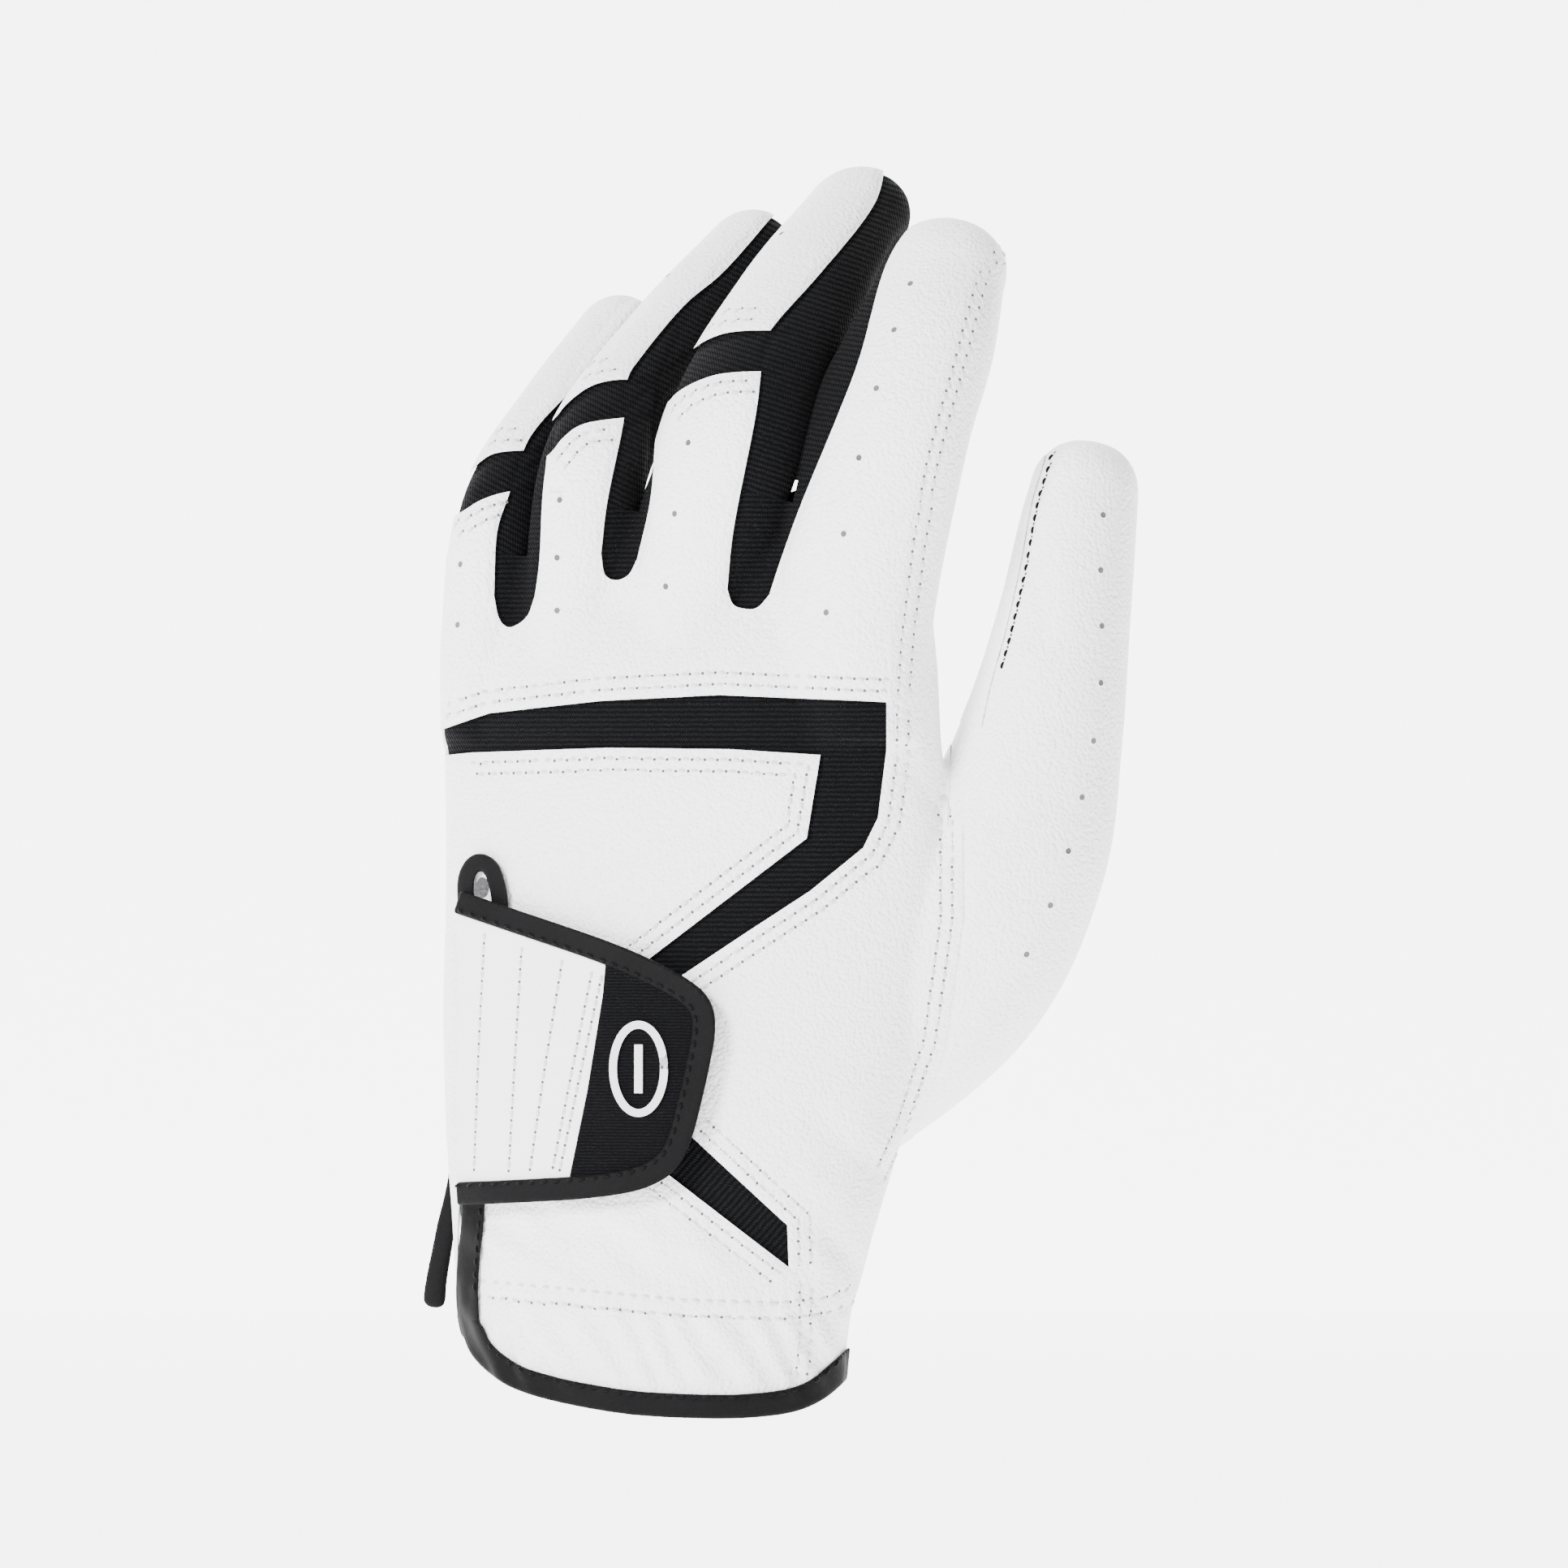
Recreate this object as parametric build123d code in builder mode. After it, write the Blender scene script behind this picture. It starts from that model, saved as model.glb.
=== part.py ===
"""A left-hand golf glove, held as if a relaxed hand were inside it.

+Z runs from the cuff to the fingertips and the back of the hand faces -Y.
The thumb is on the +X side. The origin is the middle of the wrist opening,
at the height of the lowest point of the cuff.
"""
import math
import os

from build123d import *

os.makedirs("parts", exist_ok=True)

# Driving dimensions, in millimetres and degrees
palm_width = 102.0  # across the knuckles, outside
palm_depth = 34.0  # back to palm at the knuckles, outside
palm_length = 150.0  # cuff to the finger crotches
hand_turn = 20.0  # the back of the hand looks this far towards -X
leather = 1.0  # thickness of the leather and knit shell
digit_clearance = 0.4  # gap at each digit's flexing crease
binding_width = 4.5
binding_stand = 0.8  # how far the binding stands proud of the leather
patch_thickness = 0.8  # each half of the hook and loop fastener
patch_gap = 0.3  # between the two halves as modelled
tab_thickness = 1.2
label_thickness = 0.5
elastic_width = 8.0
elastic_thickness = 0.8
slit_width = 2.4
keyhole_radius = 3.6

# Design size of the outlines below. They follow the driving dimensions.
outline_width = 102.0
outline_length = 150.0
across_scale = palm_width / outline_width
up_scale = palm_length / outline_length
reach = 90.0  # past the hand on every side

# Hand sections: height, centre, half width, half depth, as shares of the size above
hand_stations = [
    (0.0, 0.0, 36.9 / 51, 22 / 17),
    (0.17, 1.0, 40.7 / 51, 22 / 17),
    (0.33, 3.0, 46.3 / 51, 20 / 17),
    (0.53, 6.0, 49.5 / 51, 19 / 17),
    (0.80, 7.5, 51.0 / 51, 17 / 17),
    (1.0, 7.3, 50.3 / 51, 13.5 / 17),
]

# Digits: base, knuckle crease and tip centres, then radius at base, knuckle and tip.
# They grow with the width of the palm, so the fingers keep their fit side by side.
digits = {
    "pinky": ((-30.5, 14, 138), (-28, 18.5, 172), (-6, 46, 205.5), 9.0, 8.8, 8.0),
    "ring": ((-14, 7, 138), (-11, 8, 184), (19, 47, 221), 9.8, 9.3, 8.6),
    "middle": ((8, 0, 138), (15, -4, 190), (39, 33, 227), 12.2, 12.2, 10.4),
    "index": ((40, -12, 138), (48, -13, 186), (56.5, -2, 216.5), 13.2, 12.6, 11.4),
}
thumb_stations = [(52, 22, 0, 12, 12), (66, 36, -2, 17, 15), (86, 52, -6, 19.5, 17), (108, 65, -9, 18, 16)]
thumb = ((72.5, -10, 124), (76.5, -10, 140), (83, -5, 174.5), 16.0, 13.8, 11.2)
digit_axis_turn = 36.0  # the crease lines lie this far round from +X
thumb_axis_turn = 12.0


def place(point):
    """A design point moved with the size of the palm."""
    x, y, z = point
    return Vector(x * across_scale, y * across_scale, z * up_scale)


def wide(points):
    """An outline on the back of the hand, moved with the size of the palm."""
    return [(x * across_scale, z * up_scale) for x, z in points]


def hand_solid(grow):
    """The hand from cuff to crotches, grown outwards by grow."""
    with BuildPart() as hand:
        for share, centre, width, depth in hand_stations:
            top_wall = min(grow, 0.0) if share == 1 else 0.0
            with BuildSketch(Plane.XY.offset(share * palm_length + top_wall)):
                with Locations((centre * across_scale, 0)):
                    Ellipse(
                        width * palm_width / 2 + grow,
                        depth * palm_depth / 2 + grow,
                        rotation=-hand_turn,
                    )
        loft()
    return hand.part


def crease_plane(base, knuckle, tip, axis_turn):
    """The plane of a digit's flexing crease, its x along the crease, its y to the palm."""
    across = Vector(math.cos(math.radians(axis_turn)), -math.sin(math.radians(axis_turn)), 0)
    lower = (knuckle - base).normalized()
    upper = (tip - knuckle).normalized()
    normal = (lower + upper).normalized()
    across = (across - normal * across.dot(normal)).normalized()
    return Plane(origin=knuckle, x_dir=across, z_dir=normal)


def lower_digit(digit, axis_turn, grow):
    """A digit from inside the hand up to its flexing crease."""
    base, knuckle, tip = (place(p) for p in digit[:3])
    crease = crease_plane(base, knuckle, tip, axis_turn)
    slant = crease.z_dir.dot((knuckle - base).normalized())
    foot = Plane(origin=base, x_dir=crease.x_dir, z_dir=(0, 0, 1))
    with BuildPart() as stem:
        with BuildSketch(foot):
            Ellipse(digit[3] * across_scale + grow, digit[3] * across_scale + grow)
        with BuildSketch(crease):
            Ellipse(digit[4] * across_scale + grow, (digit[4] * across_scale + grow) / slant)
        loft()
    return stem.part


def upper_digit(digit, axis_turn, grow):
    """A digit from its flexing crease to its rounded tip."""
    base, knuckle, tip = (place(p) for p in digit[:3])
    crease = crease_plane(base, knuckle, tip, axis_turn)
    along = (tip - knuckle).normalized()
    slant = crease.z_dir.dot(along)
    end = Plane(origin=tip, x_dir=crease.x_dir, z_dir=along)
    with BuildPart() as sleeve:
        with BuildSketch(crease.offset(digit_clearance)):
            Ellipse(digit[4] * across_scale + grow, (digit[4] * across_scale + grow) / slant)
        with BuildSketch(end):
            Circle(digit[5] * across_scale + grow)
        loft()
        with Locations(end):
            Sphere(digit[5] * across_scale + grow)
    return sleeve.part


def thumb_root(grow):
    """The base of the thumb, out of the side of the palm."""
    with BuildPart() as root:
        for z, x, y, half_width, half_depth in thumb_stations:
            with BuildSketch(Plane.XY.offset(z * up_scale)):
                with Locations((x * across_scale, y * across_scale)):
                    Ellipse(half_width * across_scale + grow, half_depth * across_scale + grow)
        base = place(thumb[0])
        with BuildSketch(Plane.XY.offset(base.Z)):
            with Locations((base.X, base.Y)):
                Ellipse(thumb[3] * across_scale + grow, thumb[3] * across_scale + grow)
        loft()
    return root.part


def glove_solid(grow):
    """The whole fixed part of the glove, from the cuff to every crease."""
    with BuildPart() as glove:
        add(hand_solid(grow))
        for digit in digits.values():
            add(lower_digit(digit, digit_axis_turn, grow))
        add(thumb_root(grow))
        add(lower_digit(thumb, thumb_axis_turn, grow))
    return glove.part


def back_half(shift=0.0):
    """Everything on the back side of the plane through the side seams."""
    middle = Plane.XY.rotated((0, 0, -hand_turn))
    with BuildPart(middle) as block:
        with Locations((0, shift - reach, palm_length * 0.7)):
            Box(4 * reach, 2 * reach, 3 * palm_length)
    return block.part


def prism(points, rounded=0.0, depth=reach):
    """A column through the glove, front to back, with this outline."""
    with BuildPart() as column:
        with BuildSketch(Plane.XZ):
            with BuildLine():
                Polyline(*wide(points), close=True)
            make_face()
            if rounded:
                fillet(vertices(), rounded)
        extrude(amount=depth, both=True)
    return column.part


def piece(label, stock, keep=(), cut=()):
    """Cuts one sewn piece out of its stock and writes it."""
    with BuildPart() as cloth:
        add(stock)
        for tool in keep:
            add(tool, mode=Mode.INTERSECT)
        for tool in cut:
            add(tool, mode=Mode.SUBTRACT)
    cloth.part.label = label
    export_step(cloth.part, f"parts/{label}.step")
    return cloth.part


def layer(low, high):
    """A skin over the hand, from low to high above its leather."""
    with BuildPart() as skin:
        add(hand_solid(high))
        add(hand_solid(low), mode=Mode.SUBTRACT)
    return skin.part


def crease_block(digit, axis_turn, low, high):
    """A block across the back of one digit, from low to high along it from the crease."""
    base, knuckle, tip = (place(p) for p in digit[:3])
    crease = crease_plane(base, knuckle, tip, axis_turn)
    radius = digit[4] * across_scale
    with BuildPart(crease) as block:
        with Locations((0, -radius, (low + high) / 2)):
            Box(2 * radius + 1, 2 * radius - 1, high - low)
    return block.part


def sector(digit, axis_turn, x_range, y_range):
    """The part of a digit's sleeve between these distances across it and towards the palm."""
    base, knuckle, tip = (place(p) for p in digit[:3])
    along = (tip - knuckle).normalized()
    across = crease_plane(base, knuckle, tip, axis_turn).x_dir
    with BuildPart(Plane(origin=tip, x_dir=across, z_dir=along)) as block:
        with Locations((sum(x_range) / 2, sum(y_range) / 2, 0)):
            Box(x_range[1] - x_range[0], y_range[1] - y_range[0], 3 * palm_length)
    return block.part


def write(label, stock):
    """Names a finished piece and writes it."""
    stock.label = label
    export_step(stock, f"parts/{label}.step")


# Outlines of the sewn pieces on the back of the hand, as (x, z)
side = 62.0
band_top = [(-side, 129.5), (-31.5, 133.5), (-10.2, 135.8), (12.7, 136.9), (44.4, 135.5)]
band_outer = [(44.4, 126.3), (42.8, 113.6), (40.0, 107.9), (29.9, 99.7), (18.4, 92.2), (-10.0, 73.3)]
band_inner = [(-14.0, 76.6), (29.3, 109.7), (31.9, 125.5), (14.7, 126.3), (-34.9, 126.3), (-side, 123.5)]
flex_band_outline = band_top + band_outer + band_inner
strip_outline = [(-10, 69.2), (6.2, 54.3), (25.6, 36.4), (25.9, 28.4), (2.3, 46.5), (-16, 60.5)]
centre_outline = band_inner[::-1] + [(-10, 73.3), (-10, 69.2), (-16, 60.5), (-side, 60.5)]
wrist_outline = [(-side, 60.5), (-16, 60.5), (2.3, 46.5), (25.9, 28.4), (25.6, -9), (-side, -9)]
upper_outline = band_top + [(45.7, 149), (50.4, 169), (59.7, 215), (60, 260), (-side, 260)]
ulnar_outline = [(-side, -9), (-38, -9), (-36.1, 38.8), (-33.7, 98), (-side, 98)]
thumb_outline = [(57, 146), (57, 119), (58.9, 114), (58.9, 94.5), (55, 69.8), (47, 46)]
thumb_outline += [(120, 46), (120, 200), (66, 200), (66, 146)]
crotch_outline = [(56, 112), (57, 135), (60, 146), (66, 146), (63.5, 125.5), (60, 112)]
gusset_outlines = {
    "pinky_ring_gusset": [
        (-30.5, 156), (-29.5, 151), (-27.4, 150), (-24, 152.5), (-22.5, 156), (-21.7, 163),
        (-18.4, 177), (-15, 195), (-22, 195), (-26, 176.7), (-30, 168),
    ],
    "ring_middle_gusset": [
        (-10, 163), (-9.3, 159.3), (-7, 158.9), (-4.7, 160.4), (-2.3, 166), (1.5, 183),
        (3, 190), (7, 205), (-0.8, 205), (-4.7, 189), (-8.3, 172),
    ],
    "middle_index_gusset": [
        (14.3, 156), (15.5, 153.8), (20.2, 153.5), (23.3, 159), (29, 173.6), (37.5, 190),
        (39.5, 205), (28, 205), (21.7, 201.5), (19.4, 192), (15.5, 169),
    ],
}
cuff_curve = [(-38, 22), (-37, 15), (-34.5, 10.5), (-31, 7.4), (-24, 4.4), (-16.7, 2.5), (-4.3, 0.6)]
cuff_curve += [(8, 0), (17, 0), (26.2, 0.9), (32.4, 3.1), (38, 8), (side, 14)]
slit_line = [(-38, -9), (-36.1, 38.8), (-33.3, 104)]
tab_outline = [(-36.5, 100.8), (-10, 91.5), (7, 82.2), (10.4, 76.7), (9.3, 68.2), (5.4, 52.7)]
tab_outline += [(0.8, 45.7), (-5.4, 43.1), (-36.5, 40)]
label_outline = [(-8.2, 95), (20, 95), (20, 35), (-16, 35)]
loop_outline = [(-27, 48), (0, 52), (4, 76), (-27, 90)]
hook_outline = [(-20, 50), (-2, 53), (2, 74), (-20, 85)]
inner_label_outline = [(-12, 52), (12, 52), (12, 68), (-12, 68)]
knuckle_band_height = 9.0
gusset_share = 0.55  # half height of the side gussets, as a share of the radius
gusset_side_reach = 8.0  # how far past the side seams a crotch gusset runs


def line_strip(points, to_left, to_right):
    """A strip along a line up the back of the hand."""
    left = [(x - to_left, z) for x, z in points]
    right = [(x + to_right, z) for x, z in points]
    return left + right[::-1]


# Shells of the fixed part of the glove
back = back_half()
gusset_side = back_half(gusset_side_reach)
inner = glove_solid(-leather)
below_cuff = prism(cuff_curve + [(side, -20), (-side, -20), (-side, 22)])
with BuildPart() as keyhole:
    with BuildSketch(Plane.XZ):
        with Locations((slit_line[-1][0] * across_scale, slit_line[-1][1] * up_scale)):
            Circle(keyhole_radius)
    extrude(amount=reach)
slit = prism(line_strip(slit_line, slit_width / 2, slit_width / 2))
with BuildPart() as shell:
    add(glove_solid(0.0))
    add(inner, mode=Mode.SUBTRACT)
    add(below_cuff, mode=Mode.SUBTRACT)
with BuildPart() as slot:
    add(slit)
    add(keyhole.part)
    add(back, mode=Mode.INTERSECT)

# Each piece is cut from what the pieces before it have left
rest = shell.part - slot.part
cuts = [
    ("thumb_crotch_gusset", [prism(crotch_outline)]),
    ("thumb_panel", [prism(thumb_outline)]),
]
cuts += [(label, [prism(points), gusset_side]) for label, points in gusset_outlines.items()]
for finger in ("pinky", "ring", "middle"):
    block = crease_block(digits[finger], digit_axis_turn, -knuckle_band_height, 1.0)
    cuts.append((f"{finger}_knuckle_band", [block]))
cuts += [
    ("flex_band", [prism(flex_band_outline), back]),
    ("lower_flex_strip", [prism(strip_outline), back]),
    ("ulnar_wrist_panel", [prism(ulnar_outline), back]),
    ("centre_back_panel", [prism(centre_outline), back]),
    ("wrist_back_panel", [prism(wrist_outline), back]),
    ("upper_back_panel", [prism(upper_outline), back]),
]
for label, tools in cuts:
    with BuildPart() as cloth:
        add(rest)
        for tool in tools:
            add(tool, mode=Mode.INTERSECT)
    with BuildPart() as left_over:
        add(rest)
        add(cloth.part, mode=Mode.SUBTRACT)
    rest = left_over.part
    write(label, cloth.part)
write("palm_panel", rest)

# Bindings lie on the leather, the elastic and the label inside it
binding_skin = layer(0.0, binding_stand)
cuff_top = [(x, z + binding_width) for x, z in cuff_curve]
piece("cuff_binding", binding_skin, keep=[prism(cuff_curve + cuff_top[::-1])], cut=[slot.part])
edge = slit_width / 2
slit_right = prism(line_strip([(-36.9, 18 + binding_width), *slit_line[1:]], -edge, edge + binding_width))
with BuildPart() as eyelet:
    with BuildSketch(Plane.XZ):
        with Locations((slit_line[-1][0] * across_scale, slit_line[-1][1] * up_scale)):
            Circle(keyhole_radius + binding_width / 2)
    extrude(amount=reach)
with BuildPart() as slit_edges:
    add(slit_right)
    add(eyelet.part)
    add(slot.part, mode=Mode.SUBTRACT)
    add(back, mode=Mode.INTERSECT)
above_cuff = prism([(x, z + binding_width) for x, z in cuff_curve] + [(side, 140), (-side, 140)])
piece("slit_binding", binding_skin, keep=[slit_edges.part, above_cuff])
flap_line = line_strip([(-38, 22 + binding_width), (-36.1, 38.8), (-34.4, 78)], edge + binding_width, -edge)
piece("ulnar_flap_binding", binding_skin, keep=[prism(flap_line), back], cut=[slot.part])
lining = hand_solid(-leather)
elastic_line = [(-31, 18), (24, 14), (24, 14 + elastic_width), (-31, 18 + elastic_width)]
piece(
    "wrist_elastic",
    lining,
    keep=[prism(elastic_line), back],
    cut=[hand_solid(-leather - elastic_thickness)],
)
piece(
    "inner_label",
    lining,
    keep=[prism(inner_label_outline), back],
    cut=[hand_solid(-leather - label_thickness)],
)

# The closure: loop patch on the back, hook patch, tab, label patch and binding on the tab
hook_low = patch_thickness + patch_gap
tab_low = hook_low + patch_thickness
tab_high = tab_low + tab_thickness
tab_column = prism(tab_outline)
with BuildPart() as tab_core:
    with BuildSketch(Plane.XZ):
        with BuildLine():
            Polyline(*wide(tab_outline), close=True)
        make_face()
        offset(amount=-binding_width, kind=Kind.INTERSECTION, mode=Mode.REPLACE)
    extrude(amount=reach)
piece("loop_patch", layer(0.0, patch_thickness), keep=[prism(loop_outline), back], cut=[slit_edges.part])
piece("hook_patch", layer(hook_low, tab_low), keep=[prism(hook_outline), back])
piece("closure_tab", layer(tab_low, tab_high), keep=[tab_core.part, back])
piece(
    "tab_binding",
    layer(tab_low, tab_high + binding_stand),
    keep=[tab_column, back],
    cut=[tab_core.part],
)
piece(
    "tab_label_patch",
    layer(tab_high, tab_high + label_thickness),
    keep=[prism(label_outline), tab_core.part, back],
)

# The moving ends of the digits
far = 2 * reach
gusset_sides = {"pinky": (1,), "ring": (-1, 1), "middle": (-1, 1), "index": (-1,)}
side_names = {1: "radial", -1: "ulnar"}
for name, digit in {**digits, "thumb": thumb}.items():
    turn = thumb_axis_turn if name == "thumb" else digit_axis_turn
    with BuildPart() as sleeve:
        add(upper_digit(digit, turn, 0.0))
        add(upper_digit(digit, turn, -leather), mode=Mode.SUBTRACT)
    half = digit[5] * across_scale * gusset_share if name in gusset_sides else 0.0
    back_block = sector(digit, turn, (-far, far), (-far, -half))
    taken = [back_block]
    piece(f"{name}_tip_back", sleeve.part, keep=[back_block])
    for way in gusset_sides.get(name, ()):
        x_range = (0, far) if way > 0 else (-far, 0)
        block = sector(digit, turn, x_range, (-half, half))
        piece(f"{name}_{side_names[way]}_gusset", sleeve.part, keep=[block])
        taken.append(block)
    piece(f"{name}_tip_front", sleeve.part, cut=taken)
    crease = crease_plane(*(place(p) for p in digit[:3]), turn)
    upward = (place(digit[2]) - place(digit[1])).normalized()
    radius = digit[4] * across_scale / crease.z_dir.dot(upward)
    pivot = crease.origin + crease.y_dir * radius
    print(name, "crease at", [round(c, 2) for c in pivot], "axis", [round(-c, 5) for c in crease.x_dir])
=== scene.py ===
# %% [markdown]
# # A golf glove on an invisible hand
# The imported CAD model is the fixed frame: it says how large the glove is, where each finger
# bends and what moves with what. Here every sewn piece is made again with its real surface.
# Most of it is one leather skin over a hand, so the hand is shaped first, then the skin is
# cut into panels along their seams. The same outline cuts both neighbours, so seams always meet.

# %% Load the frame
import math

import bmesh
import bpy
import numpy as np
from mathutils import Matrix, Vector
from mathutils.bvhtree import BVHTree


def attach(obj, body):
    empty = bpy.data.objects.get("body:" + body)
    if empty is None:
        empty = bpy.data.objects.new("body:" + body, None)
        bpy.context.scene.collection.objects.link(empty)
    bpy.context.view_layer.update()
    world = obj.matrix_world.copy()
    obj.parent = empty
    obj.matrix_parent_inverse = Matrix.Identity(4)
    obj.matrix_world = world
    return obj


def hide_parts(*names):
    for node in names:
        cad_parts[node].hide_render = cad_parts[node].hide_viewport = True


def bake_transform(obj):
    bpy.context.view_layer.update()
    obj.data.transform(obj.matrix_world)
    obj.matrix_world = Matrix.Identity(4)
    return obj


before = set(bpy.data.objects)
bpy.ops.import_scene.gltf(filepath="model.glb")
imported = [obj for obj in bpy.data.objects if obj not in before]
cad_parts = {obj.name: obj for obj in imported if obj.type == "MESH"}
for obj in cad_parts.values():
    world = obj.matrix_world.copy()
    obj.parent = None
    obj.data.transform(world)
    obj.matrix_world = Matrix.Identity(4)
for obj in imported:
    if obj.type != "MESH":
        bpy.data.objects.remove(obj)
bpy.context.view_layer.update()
bpy.ops.object.select_all(action="DESELECT")
MM = 0.001

# %% [markdown]
# ## Camera, floor and light
# The glove stands upright, seen square on to its frame with a long lens, as a product is
# shown. Large soft lamps keep the white leather bright and let its grain show at the sides.

# %% Camera and studio
VIEW_WIDTH = 0.2995
CAMERA_FAR = 3.0
SENSOR = 36.0
view_middle = Vector((0.025, 0.0, 0.120))
camera_data = bpy.data.cameras.new("studio_camera")
camera_data.sensor_width = SENSOR
camera_data.lens = SENSOR * CAMERA_FAR / VIEW_WIDTH
camera_data.clip_end = 20
camera = bpy.data.objects.new("studio_camera", camera_data)
camera.location = view_middle + Vector((0, -CAMERA_FAR, 0))
camera.rotation_euler = (math.pi / 2, 0, 0)
bpy.context.collection.objects.link(camera)
bpy.context.scene.camera = camera


def plain_material(name, colour, roughness):
    """A material with one Principled shader, ready for more nodes."""
    material = bpy.data.materials.new(name)
    material.use_nodes = True
    shader = material.node_tree.nodes["Principled BSDF"]
    shader.inputs["Base Color"].default_value = (*colour, 1)
    shader.inputs["Roughness"].default_value = roughness
    return material, shader


def soft_lamp(name, place, size, power):
    """A square area lamp that faces the middle of the glove."""
    data = bpy.data.lights.new(name, "AREA")
    data.size = size
    data.energy = power
    lamp = bpy.data.objects.new(name, data)
    lamp.location = place
    lamp.rotation_euler = (view_middle - Vector(place)).to_track_quat("-Z", "Y").to_euler()
    bpy.context.collection.objects.link(lamp)


bpy.ops.mesh.primitive_plane_add(size=8, location=(0, 1.2, -0.055))
floor = bpy.context.object
floor.name = "studio_floor"
bpy.ops.mesh.primitive_plane_add(size=8, location=(0, 2.2, 0), rotation=(math.pi / 2, 0, 0))
wall = bpy.context.object
wall.name = "studio_wall"
paper, paper_shader = plain_material("studio_paper", (0.93, 0.93, 0.93), 0.9)
paper_shader.inputs["Emission Color"].default_value = (1, 1, 1, 1)
paper_shader.inputs["Emission Strength"].default_value = 3.0
for sheet in (floor, wall):
    sheet.data.materials.append(paper)
soft_lamp("key_lamp", (-1.3, -1.1, 1.1), 0.6, 95)
soft_lamp("fill_lamp", (0.5, -2.2, 0.3), 1.2, 26)
soft_lamp("top_lamp", (0.1, 0.3, 1.6), 1.0, 12)
world = bpy.data.worlds.new("studio_world")
world.use_nodes = True
world.node_tree.nodes["Background"].inputs["Color"].default_value = (1, 1, 1, 1)
world.node_tree.nodes["Background"].inputs["Strength"].default_value = 0.6
bpy.context.scene.world = world

# %% [markdown]
# ## Mesh helpers
# The hand is built like a clay maquette: oval rings along each limb are joined into tubes,
# the tubes are fused by a voxel remesh, and a smooth pass melts the joins. The rings come from
# a few stations by a smooth curve, so each limb is described by a handful of sizes.

# %% Helpers for limbs
RING_POINTS = 64


def flowing(points, count):
    """Points spread along a smooth curve through a few given ones."""
    p = np.array(points, float)
    p = np.vstack([2 * p[0] - p[1], p, 2 * p[-1] - p[-2]])
    out = []
    for t in np.linspace(0, len(p) - 3 - 1e-9, count):
        i, u = int(t), t - int(t)
        a, b, c, d = p[i : i + 4]
        out.append(
            0.5 * ((2 * b) + (c - a) * u + (2 * a - 5 * b + 4 * c - d) * u**2
                   + (3 * b - a - 3 * c + d) * u**3)
        )
    return np.array(out)


def mesh_piece(name, points, faces):
    """A new object from points in metres and its faces."""
    mesh = bpy.data.meshes.new(name)
    mesh.from_pydata([tuple(p) for p in points], [], faces)
    mesh.update()
    piece = bpy.data.objects.new(name, mesh)
    bpy.context.collection.objects.link(piece)
    return piece


def tube(name, centres, across, widths, depths, rounded_end=True):
    """A limb of oval rings. Widths run along the across direction, depths square to it."""
    centres, across = np.array(centres) * MM, np.array(across, float)
    widths, depths = np.array(widths) * MM, np.array(depths) * MM
    rings = []
    tangents = np.gradient(centres, axis=0)
    steps = [(c, t, 1.0) for c, t in zip(centres, tangents)]
    if rounded_end:
        c, t = centres[-1], tangents[-1] / np.linalg.norm(tangents[-1])
        reach = (widths[-1] + depths[-1]) / 2
        for a in np.linspace(0.12, 0.97, 10) * math.pi / 2:
            steps.append((c + t * reach * math.sin(a), t, math.cos(a) ** 0.8))
    for i, (centre, tangent, shrink) in enumerate(steps):
        k = min(i, len(widths) - 1)
        t = tangent / np.linalg.norm(tangent)
        x = across - t * across.dot(t)
        x /= np.linalg.norm(x)
        y = np.cross(t, x)
        angle = np.linspace(0, 2 * math.pi, RING_POINTS, endpoint=False)
        rings.append(
            centre + np.outer(np.cos(angle), x) * widths[k] * shrink
            + np.outer(np.sin(angle), y) * depths[k] * shrink
        )
    points = np.vstack(rings)
    faces = []
    for r in range(len(rings) - 1):
        for k in range(RING_POINTS):
            m = (k + 1) % RING_POINTS
            a, b = r * RING_POINTS, (r + 1) * RING_POINTS
            faces.append((a + k, a + m, b + m, b + k))
    faces.append(tuple(range(RING_POINTS))[::-1])
    last = (len(rings) - 1) * RING_POINTS
    faces.append(tuple(range(last, last + RING_POINTS)))
    return mesh_piece(name, points, faces)


def select_only(*pieces):
    """Selects these pieces and nothing else. The last one is active."""
    bpy.ops.object.select_all(action="DESELECT")
    for piece in pieces:
        piece.select_set(True)
    bpy.context.view_layer.objects.active = pieces[-1]


def apply_modifier(piece, kind, **settings):
    """Adds one modifier to a piece, sets it and applies it."""
    modifier = piece.modifiers.new("step", kind)
    for key, value in settings.items():
        setattr(modifier, key, value)
    select_only(piece)
    bpy.ops.object.modifier_apply(modifier=modifier.name)
    return piece


def fuse(name, parts, voxel, smooth):
    """Joins parts into one skin: voxel remesh, then smoothing."""
    select_only(*parts)
    if len(parts) > 1:
        bpy.ops.object.join()
    body = bpy.context.view_layer.objects.active
    body.name = name
    apply_modifier(body, "REMESH", mode="VOXEL", voxel_size=voxel * MM)
    if smooth:
        apply_modifier(body, "SMOOTH", factor=0.6, iterations=smooth)
    return body


def vertex_array(piece):
    """A piece's points as an array."""
    points = np.empty(len(piece.data.vertices) * 3)
    piece.data.vertices.foreach_get("co", points)
    return points.reshape(-1, 3)


def normal_array(piece):
    """A piece's outward normals, one for each point."""
    normals = np.empty(len(piece.data.vertices) * 3)
    piece.data.vertex_normals.foreach_get("vector", normals)
    return normals.reshape(-1, 3)


def move_points(piece, points):
    """Gives a piece new places for its points."""
    piece.data.vertices.foreach_set("co", points.ravel())
    piece.data.update()


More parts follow.
